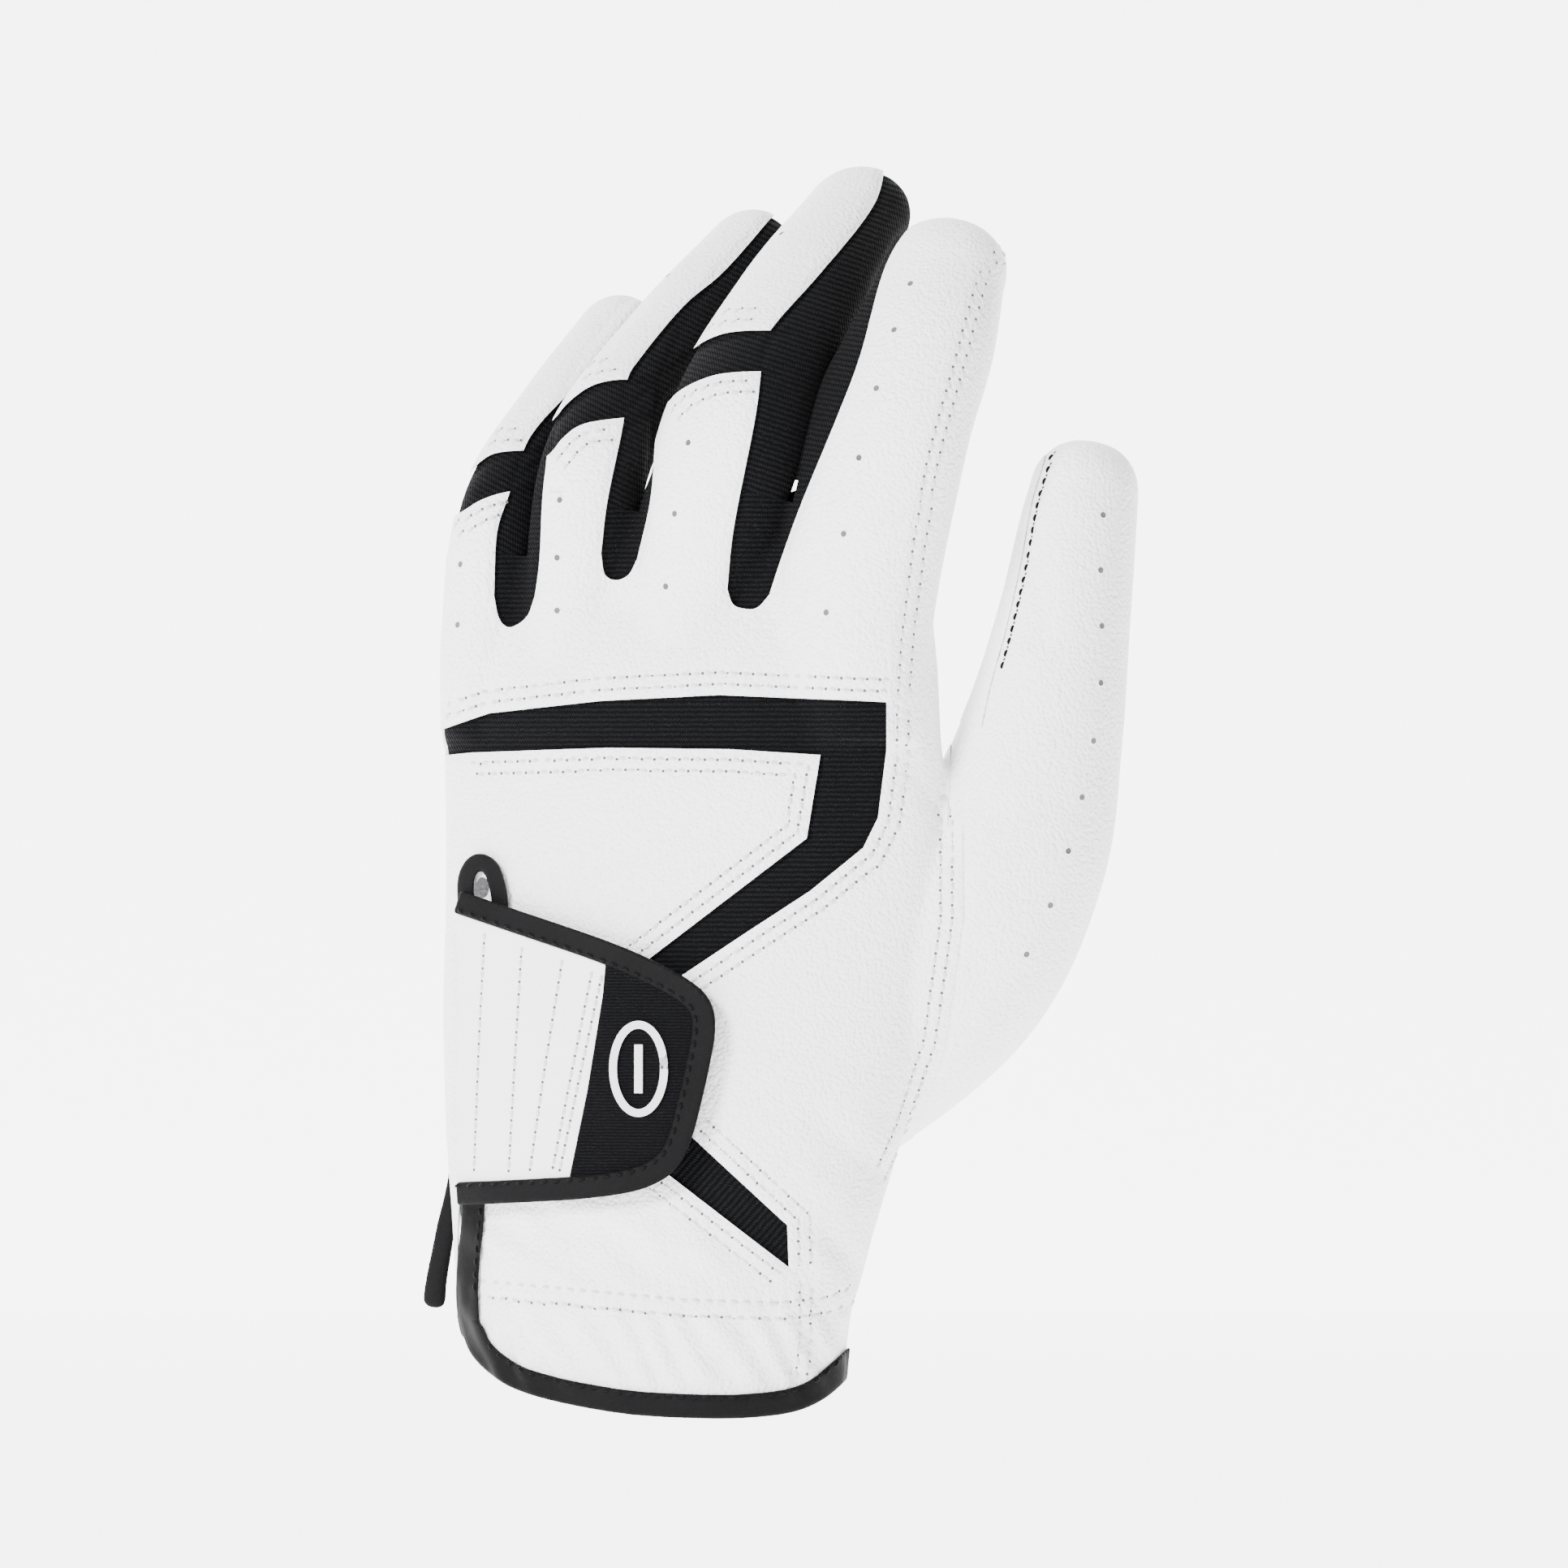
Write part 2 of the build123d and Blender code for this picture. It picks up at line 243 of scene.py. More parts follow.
def copy_of(piece, name, out=0.0):
    """A copy with its own mesh, grown outwards along its normals by out, in mm."""
    twin = piece.copy()
    twin.data = piece.data.copy()
    twin.name = name
    bpy.context.collection.objects.link(twin)
    if out:
        move_points(twin, vertex_array(twin) + normal_array(twin) * out * MM)
    return twin


def remove(*pieces):
    """Deletes tools that are done with."""
    for piece in pieces:
        mesh = piece.data
        bpy.data.objects.remove(piece)
        bpy.data.meshes.remove(mesh)


def carve(piece, tool, operation):
    """Cuts a piece with another closed solid."""
    apply_modifier(piece, "BOOLEAN", object=tool, operation=operation, solver="MANIFOLD")
    return piece


# %% [markdown]
# ## The hand
# The back of the hand faces the viewer and a little left, and the fingers curl away, so the
# thumb side of each finger shows. Each limb has stations of centre, half width and half depth
# in millimetres. Finger ends are separate skins, so that each can bend on its own crease.

# %% Limb stations
HAND_TURN = math.radians(20)
FINGER_TURN = math.radians(36)
hand_across = (math.cos(HAND_TURN), -math.sin(HAND_TURN), 0)
finger_across = np.array((math.cos(FINGER_TURN), -math.sin(FINGER_TURN), 0))
thumb_across = np.array((math.cos(math.radians(12)), -math.sin(math.radians(12)), 0))
# centre x, y, z, half width, half depth
hand_stations = [
    (0.3, 0, -12, 36.5, 22), (0.3, 0, 0, 36.6, 22), (0.6, 0, 12, 37.3, 22), (0.4, 0, 24, 40.0, 21.5),
    (1.4, 0, 38, 42.5, 21), (2.8, 0, 52, 45.3, 20.5), (5.0, 0, 70, 48.2, 20), (6.8, 0, 90, 49.6, 19),
    (7.8, 0, 110, 50.4, 18), (7.2, 0, 128, 50.2, 16), (7.0, 0.5, 142, 49.8, 13.5), (7.0, 1.5, 153, 48.5, 10),
]
limbs = {
    "pinky": [
        (-31.5, 14, 128, 9.6, 9.5), (-31.3, 15, 150, 9.6, 9.4), (-28.0, 18.5, 173, 9.6, 9.6),
        (-17.6, 30.5, 191, 9.3, 9.0), (-7.2, 44.0, 206.5, 8.4, 8.0),
    ],
    "ring": [
        (-15, 7, 130, 10.4, 10), (-14.6, 7, 152, 11.0, 10.2), (-10.8, 8, 182, 11.6, 10.4),
        (3.5, 27, 205, 10.0, 9.4), (18.5, 45, 222.5, 9.2, 8.6),
    ],
    "middle": [
        (6, 0, 132, 12.2, 11), (7.4, -1, 154, 13.2, 11.2), (16.2, -4, 188, 15.8, 12),
        (28.2, 13, 212, 14.2, 11), (39.2, 30.5, 229, 11.2, 9.6),
    ],
    "index": [
        (37, -12, 128, 17.0, 12.5), (37.6, -12.5, 152, 17.2, 12.2), (43.4, -13, 184, 17.9, 11.8),
        (49.9, -9.5, 202, 16.4, 11.2), (55.0, -3, 216.5, 13.0, 10.2),
    ],
    "thumb": [
        (22, 0, 50, 12, 12), (38, -2, 66, 18, 15), (56.2, -6, 86, 21, 16.5), (68, -9, 108, 19.2, 15.5),
        (74.3, -10, 130, 15.5, 13.8), (78.2, -9.5, 150, 12.8, 12.4), (81.0, -7.5, 168, 11.2, 11.2),
        (82.2, -6.5, 175, 10.4, 10.4),
    ],
}
limb_across = {name: thumb_across if name == "thumb" else finger_across for name in limbs}
# Where each limb's own skin starts, as a share of its length
limb_split = {"pinky": 0.405, "ring": 0.425, "middle": 0.43, "index": 0.43, "thumb": 0.575}
STEPS = 60


def limb_rings(name):
    """The smooth rings of one limb."""
    return flowing(limbs[name], STEPS)


def split_plane(name):
    """The point and direction where a limb's own skin starts."""
    rings = limb_rings(name)
    k = int(limb_split[name] * (STEPS - 1))
    along = rings[k + 1, :3] - rings[k - 1, :3]
    return rings[k, :3], along / np.linalg.norm(along), k


def slab(name, centre, normal, across, half, thick):
    """A flat box that starts at a plane and runs thick along its normal."""
    n = Vector(normal).normalized()
    x = Vector(across)
    x = (x - n * x.dot(n)).normalized()
    y = n.cross(x)
    rows = [
        Vector(centre) * MM + (x * i * half[0] + y * j * half[1]) * MM + n * k * MM
        for k in (0, thick) for i, j in ((-1, -1), (1, -1), (1, 1), (-1, 1))
    ]
    faces = [(3, 2, 1, 0), (4, 5, 6, 7), (0, 1, 5, 4), (1, 2, 6, 5), (2, 3, 7, 6), (3, 0, 4, 7)]
    return mesh_piece(name, rows, faces)


# %% Fuse the hand and the limb ends
VOXEL = 0.75
OVERRUN = 3
hand_rings = flowing(hand_stations, STEPS)
parts = [tube("hand_form", hand_rings[:, :3], hand_across, hand_rings[:, 3], hand_rings[:, 4])]
for name in limbs:
    _, _, k = split_plane(name)
    rings = limb_rings(name)[: k + OVERRUN]
    parts.append(
        tube(name + "_form", rings[:, :3], limb_across[name], rings[:, 3], rings[:, 4], False)
    )
forms = {"hand": fuse("hand_skin_form", parts, VOXEL, 14)}
for name in limbs:
    _, _, k = split_plane(name)
    rings = limb_rings(name)[k - OVERRUN :]
    form = tube(name + "_end_form", rings[:, :3], limb_across[name], rings[:, 3], rings[:, 4])
    forms[name] = fuse(name + "_end_form", [form], VOXEL, 6)
print("skins:", {name: len(form.data.vertices) for name, form in forms.items()})

# %% [markdown]
# ## Seam lines
# Every seam on the back is one line of points, across and up, in millimetres. Lines are cut
# front to back through the skin, so a panel and the knit beside it share an edge exactly.

# %% Outlines on the back of the hand
SIDE = 66.0
band_top = [(-SIDE, 128), (-40, 130.6), (-31.5, 133.5), (-10.2, 135.8), (12.7, 136.9), (44.4, 135.5)]
band_outer = [(44.4, 126.3), (42.8, 113.6), (40, 107.9), (29.9, 99.7), (18.4, 92.2), (-10, 73.3)]
band_inner = [(-14, 76.6), (29.3, 109.7), (31.9, 125.5), (14.7, 126.6), (-8.5, 126.9), (-34.9, 126.0),
              (-SIDE, 123)]
strip_top = [(-10, 69.2), (6.2, 54.3), (25.6, 36.4)]
strip_low = [(25.9, 28.4), (2.3, 46.5), (-16, 60.5)]
wrap_seam = [(44.4, 135.5), (45.4, 149), (47.5, 165.9), (50.4, 182.1), (55.4, 200), (57.9, 209), (60.9, 218.5),
             (62.8, 221.4), (65.8, 222.8), (74, 223)]
thumb_seam = [(57, 119), (58.9, 114), (58.9, 94.5), (55.5, 69.8), (50.4, 54.3), (46, 44)]
wrist_seam = [(25.9, 28.4), (26.6, 20), (25.8, -20)]
outlines = {
    "flex_band": band_top + band_outer + band_inner,
    "lower_flex_strip": strip_top + strip_low,
    "centre_back_panel": band_inner[::-1] + [(-10, 73.3), (-10, 69.2), (-16, 60.5), (-SIDE, 60.5)],
    "wrist_back_panel": [(-SIDE, 60.5), (-16, 60.5), (2.3, 46.5), *wrist_seam, (-SIDE, -20)],
    "upper_back_panel": band_top + wrap_seam[1:] + [(70, 260), (-SIDE, 260)],
    "ulnar_wrist_panel": [(-SIDE, -20), (-38, -20), (-36.1, 38.8), (-33.7, 98), (-SIDE, 98)],
    "thumb_panel": thumb_seam + [(120, 44), (120, 200), (66, 200), (66, 146), (57, 146)],
    "thumb_crotch_gusset": [(56, 112), (57, 135), (60, 146), (66, 146), (63.5, 125.5), (60, 112)],
}
# The edge of the white back beside each finger's thumb-side gusset, from crotch to tip
white_edges = {
    "pinky": [(-30.5, 156), (-30, 168), (-27.7, 175.5), (-25, 184), (-22.1, 189), (-15, 197), (-2, 213)],
    "ring": [(-9.9, 164), (-8.7, 174), (-5.7, 189), (-5.1, 197), (-2.3, 202), (5.7, 212), (14, 219.5),
             (26, 234)],
    "middle": [(14.2, 157), (15.5, 169), (19.6, 190), (21.2, 203), (23.2, 207.5), (31.8, 217.5),
               (40.5, 228.5), (43.8, 235.5), (44.5, 245)],
}
# The edge of the white back on the far side of each gusset
far_edges = {
    "ring": [(-22.6, 156), (-21.7, 163), (-21.2, 174), (-20.5, 181), (-19.8, 188), (-17.6, 195),
             (-13.8, 203), (-8, 211), (1, 220)],
    "middle": [(-3, 163), (-0.5, 174), (0.3, 184), (0.8, 192), (1.8, 199), (6.5, 210.5), (13, 220),
               (23, 231)],
    "index": [(22.2, 156), (24.5, 163), (28.4, 173.6), (35.2, 190), (39.5, 201.5), (43.7, 217), (47.5, 224.5),
              (52, 229), (58, 236)],
}
crotches = {
    "pinky_ring_gusset": ("pinky", "ring", [(-29.5, 151.6), (-27.4, 150), (-24.2, 152)]),
    "ring_middle_gusset": ("ring", "middle", [(-9.2, 160), (-7, 158.9), (-4.6, 160)]),
    "middle_index_gusset": ("middle", "index", [(15.3, 154.2), (17.6, 153.3), (20, 153.6)]),
}
bands = {
    "pinky": ([(-50, 168), (-44, 169.6), (-37.7, 171.8), (-32.7, 174.6), (-26.7, 176.2), (-18, 176.6)],
              [(-50, 174), (-42, 176), (-37, 178.6), (-34.2, 181.2), (-30.8, 183.4), (-25.4, 184), (-18, 184)]),
    "ring": ([(-34, 176), (-27, 178.6), (-20.3, 182.7), (-17, 186.4), (-12.9, 188.9), (-4, 190.2)],
             [(-34, 182), (-27, 184.4), (-19.9, 189.2), (-16.4, 193), (-12.3, 196), (-7.7, 197.3), (-1, 197.4)]),
    "middle": ([(-12, 186), (-5, 188), (1.6, 191.9), (5.1, 195), (10.3, 197.4), (15.4, 198.3), (24, 198.5)],
               [(-12, 190), (-4, 192.6), (2.4, 198.6), (5.7, 201.8), (10.3, 204.8), (15.9, 206.3), (26, 206.4)]),
}
cuff_curve = [(-38, 24), (-37.6, 17), (-35, 11.1), (-31.3, 7.4), (-25.9, 4.7), (-16.7, 2.5), (-4.3, 0.6),
              (7.9, 0), (17, 0), (26.2, 0.9), (32.4, 3.1), (37, 7), (46, 12)]


def smooth_line(points, per=6):
    """A seam line rounded through its points, still in millimetres."""
    flat = [(x, 0, z, 0, 0) for x, z in points]
    return [(p[0], p[2]) for p in flowing(flat, (len(points) - 1) * per + 1)]


def middle_depth(x, turn=HAND_TURN, shift=0.0):
    """How far back the plane through the side seams lies, at x across."""
    return -math.tan(turn) * (x - 7) + shift


def column(name, outline, near=-90.0, far=90.0, shift=None):
    """A closed column through the glove. With a shift it stops at the side seams."""
    points, count = [], len(outline)
    area = sum(a[0] * b[1] - b[0] * a[1] for a, b in zip(outline, outline[1:] + outline[:1]))
    if area < 0:
        outline = outline[::-1]
    for x, z in outline:
        points.append((x * MM, near * MM, z * MM))
    for x, z in outline:
        back = far if shift is None else middle_depth(x, shift=shift)
        points.append((x * MM, back * MM, z * MM))
    faces = [tuple(range(count)), tuple(range(count, 2 * count))[::-1]]
    for k in range(count):
        m = (k + 1) % count
        faces.append((m, k, count + k, count + m))
    return mesh_piece(name, points, faces)


def ribbon(path, width):
    """The outline of a strip of this width along a path."""
    path = np.array(path)
    along = np.gradient(path, axis=0)
    along /= np.linalg.norm(along, axis=1)[:, None]
    side = np.stack([-along[:, 1], along[:, 0]], axis=1) * width / 2
    return [tuple(p) for p in np.vstack([path + side, (path - side)[::-1]])]


def limb_block(name, x_low, x_high, y_low, y_high):
    """A block that follows a limb. Its sides are shares of the half width and half depth."""
    rings = limb_rings(name)
    c, along, k = split_plane(name)
    rings = rings[k - 6 :]
    tangents = np.gradient(rings[:, :3], axis=0)
    points, faces = [], []
    centres = [r[:3] for r in rings] + [rings[-1][:3] + tangents[-1] / np.linalg.norm(tangents[-1]) * 30]
    for i, centre in enumerate(centres):
        j = min(i, len(rings) - 1)
        t = tangents[j] / np.linalg.norm(tangents[j])
        x = limb_across[name] - t * limb_across[name].dot(t)
        x /= np.linalg.norm(x)
        y = np.cross(t, x)
        a, b = rings[j][3], rings[j][4]
        for u, v in ((x_low, y_low), (x_high, y_low), (x_high, y_high), (x_low, y_high)):
            points.append((centre + x * a * u + y * b * v) * MM)
    for i in range(len(centres) - 1):
        for q in range(4):
            m = (q + 1) % 4
            faces.append((4 * i + q, 4 * i + m, 4 * i + 4 + m, 4 * i + 4 + q))
    faces.append((3, 2, 1, 0))
    last = 4 * (len(centres) - 1)
    faces.append((last, last + 1, last + 2, last + 3))
    return mesh_piece(name + "_block", points, faces)


# %% [markdown]
# ## Pulled seams, puckers and folds
# Leather that is turned under at a seam rolls down into it, stitches pull a shallow groove,
# and the elastic gathers the cuff. These small movements of the surface come before the
# cutting, while the skin is one piece, so they run on across the seams.

# %% Shape the surface
stitch_rows = {}


def offset_line(points, distance):
    """A line beside another, to its left for a positive distance."""
    p = np.array(points, float)
    along = np.gradient(p, axis=0)
    along /= np.linalg.norm(along, axis=1)[:, None]
    return [tuple(q) for q in p + np.stack([-along[:, 1], along[:, 0]], axis=1) * distance]


def corner_line(points, distance):
    """A line beside one with sharp corners, mitred at each corner."""
    p = np.array(points, float)
    out = []
    for i in range(len(p)):
        before = p[i] - p[max(i - 1, 0)] if i else p[1] - p[0]
        after = p[min(i + 1, len(p) - 1)] - p[i] if i < len(p) - 1 else before
        n1 = np.array((-before[1], before[0])) / np.linalg.norm(before)
        n2 = np.array((-after[1], after[0])) / np.linalg.norm(after)
        n = n1 + n2
        n /= max(n.dot(n1), 0.3)
        out.append(tuple(p[i] + n * distance))
    return out


ROW_EDGE = 2.0
ROW_GAP = 2.2
seams = {
    "upper_band": (band_top[1:], 1),
    "centre_band": (band_inner[:-1], 1),
    "outer_band": ([band_top[-1]] + band_outer, 1),
    "strip_over": (strip_top[1:] + [(25.9, 28.4)], 1),
    "strip_under": (strip_low[1:][::-1] + [strip_low[0]], -1),
    "wrap": (wrap_seam[:-1], -1),
    "thumb": (thumb_seam, -1),
}
for name, (line, way) in seams.items():
    for row in (0, 1):
        stitch_rows[f"{name}_{row}"] = corner_line(line, way * (ROW_EDGE + row * ROW_GAP))
for row, drop in enumerate((0, 3)):
    stitch_rows[f"elastic_{row}"] = [(-33.5, 25.2 - drop), (-16, 24.0 - drop), (6, 22.2 - drop),
                                     (24, 21.6 - drop), (33, 22.4 - drop), (38.6, 24.6 - drop)]
stitch_rows["wrist_0"] = [(28.0, 26), (28.0, 14), (27.2, 7)]
stitch_rows["wrist_1"] = [(30.2, 26), (30.1, 14), (29.3, 7.6)]


def line_distance(points, line):
    """How far points (across, up) are from a line, all in millimetres."""
    best = np.full(len(points), 1e9)
    for a, b in zip(np.array(line[:-1]), np.array(line[1:])):
        d = b - a
        t = np.clip(((points - a) @ d) / max(d @ d, 1e-9), 0, 1)
        best = np.minimum(best, np.linalg.norm(points - a - t[:, None] * d, axis=1))
    return best


folds = [
    ([(-33, 38), (-24, 33), (-14, 26)], 2.6, -0.55), ([(-30, 33), (-20, 28), (-12, 24)], 2.0, 0.45),
    ([(-22, 38), (-10, 33), (4, 26)], 2.8, -0.5), ([(-20, 41), (-4, 37), (10, 30)], 2.4, 0.4),
    ([(32, 56), (38, 50), (46, 45)], 3.0, -0.6), ([(30, 46), (38, 40), (44, 36)], 3.0, 0.45),
    ([(34, 34), (38, 30), (41, 24)], 2.2, -0.5), ([(47, 58), (55, 70), (62, 84)], 4.0, -0.5),
    ([(-40, 96), (-36, 88), (-34, 80)], 2.2, -0.4), ([(50, 122), (54, 116), (58, 104)], 2.6, -0.5),
    ([(70, 166), (73, 158), (74, 148)], 3.4, -0.7), ([(57, 118), (66, 114), (76, 118)], 3.4, -0.35),
]


def shape_surface(form):
    """Rolls the seams down, pulls the stitch rows in and lays the folds."""
    points, normals = vertex_array(form), normal_array(form)
    flat = points[:, [0, 2]] / MM
    facing = np.clip(-normals[:, 1] * 3, 0, 1)
    move = np.zeros(len(points))
    edges = [band_top, band_outer, band_inner, strip_top, strip_low, thumb_seam]
    edges += list(white_edges.values()) + list(far_edges.values())
    edges += [line for pair in bands.values() for line in pair]
    near = np.min([line_distance(flat, line) for line in edges], axis=0)
    move -= 0.45 * np.clip(1 - near / 1.7, 0, 1) ** 2
    rows = np.min([line_distance(flat, line) for line in stitch_rows.values()], axis=0)
    move -= 0.22 * np.exp(-((rows / 0.75) ** 2))
    for line, width, height in folds:
        move += height * np.exp(-((line_distance(flat, line) / width) ** 2))
    x, z = flat[:, 0], flat[:, 1]
    low_cuff = np.clip((22 - z) / 5, 0, 1) * np.clip((z - 3) / 5, 0, 1)
    wave = np.sin(0.95 * x + 0.5 * z + 1.3 * np.sin(0.23 * x)) + 0.5 * np.sin(0.57 * x - 0.35 * z)
    move += low_cuff * 0.42 * wave
    wrist = np.exp(-(((z - 31) / 7) ** 2))
    move += wrist * 0.22 * np.sin(0.62 * x + 0.45 * z)
    gather = np.exp(-(((z - 22.5) / 2.4) ** 2)) * 0.12 * np.sin(2.6 * x)
    move += gather
    whole = low_cuff * 0.25 * np.sin(0.8 * points[:, 1] / MM + 0.9 * x)
    move = move * facing + whole * (1 - facing)
    move_points(form, points + normals * move[:, None] * MM)


for form in forms.values():
    shape_surface(form)
    select_only(form)
    bpy.ops.object.shade_smooth()
print("seam rows:", len(stitch_rows))

# %% [markdown]
# ## Materials
# The leather is a white coated skin with a pebble grain. Its cells come from a Voronoi
# texture, bent by a little noise so that no two cells match. The rib knit is black yarn in
# fine ribs across each piece. Its colour is darker in the grooves between ribs, which is painted
# shade, with random flecks of yarn tone. Both effects are groups, so that each material sets its own size.

# %% Node helpers and groups


def node(tree, kind, links=(), **values):
    """Adds a node, sets its sockets by name and links sockets to it."""
    made = tree.nodes.new(kind)
    for key, value in values.items():
        if key in made.bl_rna.properties:
            setattr(made, key, value)
        else:
            made.inputs[key.replace("_", " ")].default_value = value
    for source, target in links:
        tree.links.new(source, made.inputs[target])
    return made


def new_group(name, inputs, outputs):
    """A shader node group with named number inputs, a vector input and its outputs."""
    group = bpy.data.node_groups.new(name, "ShaderNodeTree")
    group.interface.new_socket("Vector", in_out="INPUT", socket_type="NodeSocketVector")
    for label, value in inputs.items():
        socket = group.interface.new_socket(label, in_out="INPUT", socket_type="NodeSocketFloat")
        socket.default_value = value
    for label in outputs:
        group.interface.new_socket(label, in_out="OUTPUT", socket_type="NodeSocketFloat")
    return group, group.nodes.new("NodeGroupInput"), group.nodes.new("NodeGroupOutput")


def math_node(tree, operation, first, second=None, clamp=False):
    """One sum on two sockets or numbers."""
    made = tree.nodes.new("ShaderNodeMath")
    made.operation = operation
    made.use_clamp = clamp
    for k, value in enumerate((first, second)):
        if value is None:
            continue
        if isinstance(value, (int, float)):
            made.inputs[k].default_value = value
        else:
            tree.links.new(value, made.inputs[k])
    return made.outputs[0]


grain, g_in, g_out = new_group("pebble_grain", {"Cell Size": 0.0009}, ["Height", "Tone"])
per_metre = math_node(grain, "DIVIDE", 1.0, g_in.outputs["Cell Size"])
warp = node(grain, "ShaderNodeTexNoise", [(g_in.outputs["Vector"], "Vector")], Scale=900.0, Detail=2.0)
nudge = node(grain, "ShaderNodeVectorMath", [(warp.outputs["Color"], 0)], operation="SCALE", Scale=0.0006)
bent = node(
    grain, "ShaderNodeVectorMath",
    [(g_in.outputs["Vector"], 0), (nudge.outputs["Vector"], 1)], operation="ADD",
)
cells = node(
    grain, "ShaderNodeTexVoronoi", [(bent.outputs["Vector"], "Vector"), (per_metre, "Scale")],
    feature="SMOOTH_F1",
)
soft = node(grain, "ShaderNodeTexNoise", [(g_in.outputs["Vector"], "Vector")], Scale=60.0, Detail=3.0)
height = math_node(grain, "SUBTRACT", 1.0, cells.outputs["Distance"])
grain.links.new(height, g_out.inputs["Height"])
grain.links.new(soft.outputs["Fac"], g_out.inputs["Tone"])

rib, r_in, r_out = new_group("rib_knit", {"Pitch": 0.001, "Twill": 0.25}, ["Height", "Tone"])
split_xyz = node(rib, "ShaderNodeSeparateXYZ", [(r_in.outputs["Vector"], 0)])
wobble = node(rib, "ShaderNodeTexNoise", [(r_in.outputs["Vector"], "Vector")], Scale=700.0, Detail=1.0)
shake = math_node(rib, "MULTIPLY", math_node(rib, "SUBTRACT", wobble.outputs["Fac"], 0.5), 0.00035)
along = math_node(rib, "ADD", split_xyz.outputs["Z"], shake)
phase = math_node(rib, "DIVIDE", math_node(rib, "MULTIPLY", along, 2 * math.pi), r_in.outputs["Pitch"])
ridge = math_node(rib, "MULTIPLY_ADD", math_node(rib, "SINE", phase), 0.5)
ridge.node.inputs[2].default_value = 0.5
cross = math_node(rib, "DIVIDE", math_node(rib, "MULTIPLY", split_xyz.outputs["X"], 4 * math.pi), r_in.outputs["Pitch"])
loops = math_node(rib, "MULTIPLY", math_node(rib, "SINE", math_node(rib, "ADD", cross, phase)), r_in.outputs["Twill"])
rib.links.new(math_node(rib, "ADD", ridge, loops), r_out.inputs["Height"])
fleck = node(rib, "ShaderNodeTexNoise", [(r_in.outputs["Vector"], "Vector")], Scale=2400.0, Detail=1.0)
# Tone follows the ridge, so the grooves between ribs come out darker: painted shade, times a random fleck of yarn tone.
# Every material made from this group carries it.
rib.links.new(math_node(rib, "MULTIPLY", ridge, fleck.outputs["Fac"]), r_out.inputs["Tone"])


def textured(name, group, low, high, roughness, relief, turn=(0, 0, 0), sheen=0.0, **sizes):
    """A material whose colour runs from low to high with the group's tone, with its relief."""
    material, shader = plain_material(name, high, roughness)
    tree = material.node_tree
    place = node(tree, "ShaderNodeTexCoord")
    aim = node(tree, "ShaderNodeMapping", [(place.outputs["Object"], "Vector")])
    aim.inputs["Rotation"].default_value = turn
    effect = tree.nodes.new("ShaderNodeGroup")
    effect.node_tree = group
    tree.links.new(aim.outputs["Vector"], effect.inputs["Vector"])
    for key, value in sizes.items():
        effect.inputs[key.replace("_", " ")].default_value = value
    tint = node(tree, "ShaderNodeMix", [(effect.outputs["Tone"], "Factor")], data_type="RGBA")
    tint.inputs[6].default_value = (*low, 1)
    tint.inputs[7].default_value = (*high, 1)
    tree.links.new(tint.outputs[2], shader.inputs["Base Color"])
    bump = node(tree, "ShaderNodeBump", [(effect.outputs["Height"], "Height")], Strength=relief)
    bump.inputs["Distance"].default_value = 0.0004
    tree.links.new(bump.outputs["Normal"], shader.inputs["Normal"])
    shader.inputs["Specular IOR Level"].default_value = 0.05 if high[0] < 0.1 else 0.4
    shader.inputs["Sheen Weight"].default_value = sheen
    shader.inputs["Sheen Roughness"].default_value = 0.5
    return material


WHITE_LOW, WHITE_HIGH = (0.80, 0.80, 0.81), (0.88, 0.88, 0.89)
BLACK_LOW, BLACK_HIGH = (0.001, 0.001, 0.0012), (0.009, 0.0092, 0.0105)
white_leather = textured("white_leather", grain, WHITE_LOW, WHITE_HIGH, 0.48, 0.95, Cell_Size=0.0007)
tab_leather = textured("tab_leather", grain, (0.78, 0.78, 0.79), (0.86, 0.86, 0.87), 0.55, 0.26, Cell_Size=0.0007)
level_knit = textured("level_rib_knit", rib, BLACK_LOW, BLACK_HIGH, 0.85, 0.8, sheen=0.01, Pitch=0.00095)
lean_knit = {
    name: textured(f"{name}_rib_knit", rib, BLACK_LOW, BLACK_HIGH, 0.85, 0.8,
                   turn=(0, -math.radians(angle), 0), sheen=0.01, Pitch=0.001)
    for name, angle in (("pinky", 28), ("ring", 26), ("middle", 18), ("index", 12))
}
strip_knit = textured("strip_rib_knit", rib, BLACK_LOW, BLACK_HIGH, 0.85, 0.8,
                      turn=(0, math.radians(48), 0), sheen=0.01, Pitch=0.0011)
binding_tape = textured("binding_tape", grain, (0.002, 0.002, 0.0022), (0.0055, 0.0055, 0.006), 0.6, 0.12,
                        Cell_Size=0.0005)
woven_black = textured("woven_patch_black", rib, (0.0015, 0.0015, 0.002), (0.011, 0.011, 0.013), 0.8, 0.7,
                       Pitch=0.0006, Twill=0.6)
white_thread = textured("white_thread", rib, (0.62, 0.62, 0.63), (0.84, 0.84, 0.85), 0.6, 0.4, Pitch=0.0004)
black_thread = textured("black_thread", rib, (0.002, 0.002, 0.002), (0.012, 0.012, 0.013), 0.45, 0.5, Pitch=0.0004)
# Needle hole discs: a dark colour laid on the leather as painted shade, standing in for the shade inside each needle
# hole.
needle_hole_shade = textured("needle_hole", grain, (0.05, 0.05, 0.055), (0.11, 0.11, 0.115), 0.9, 0.3, Cell_Size=0.0003)
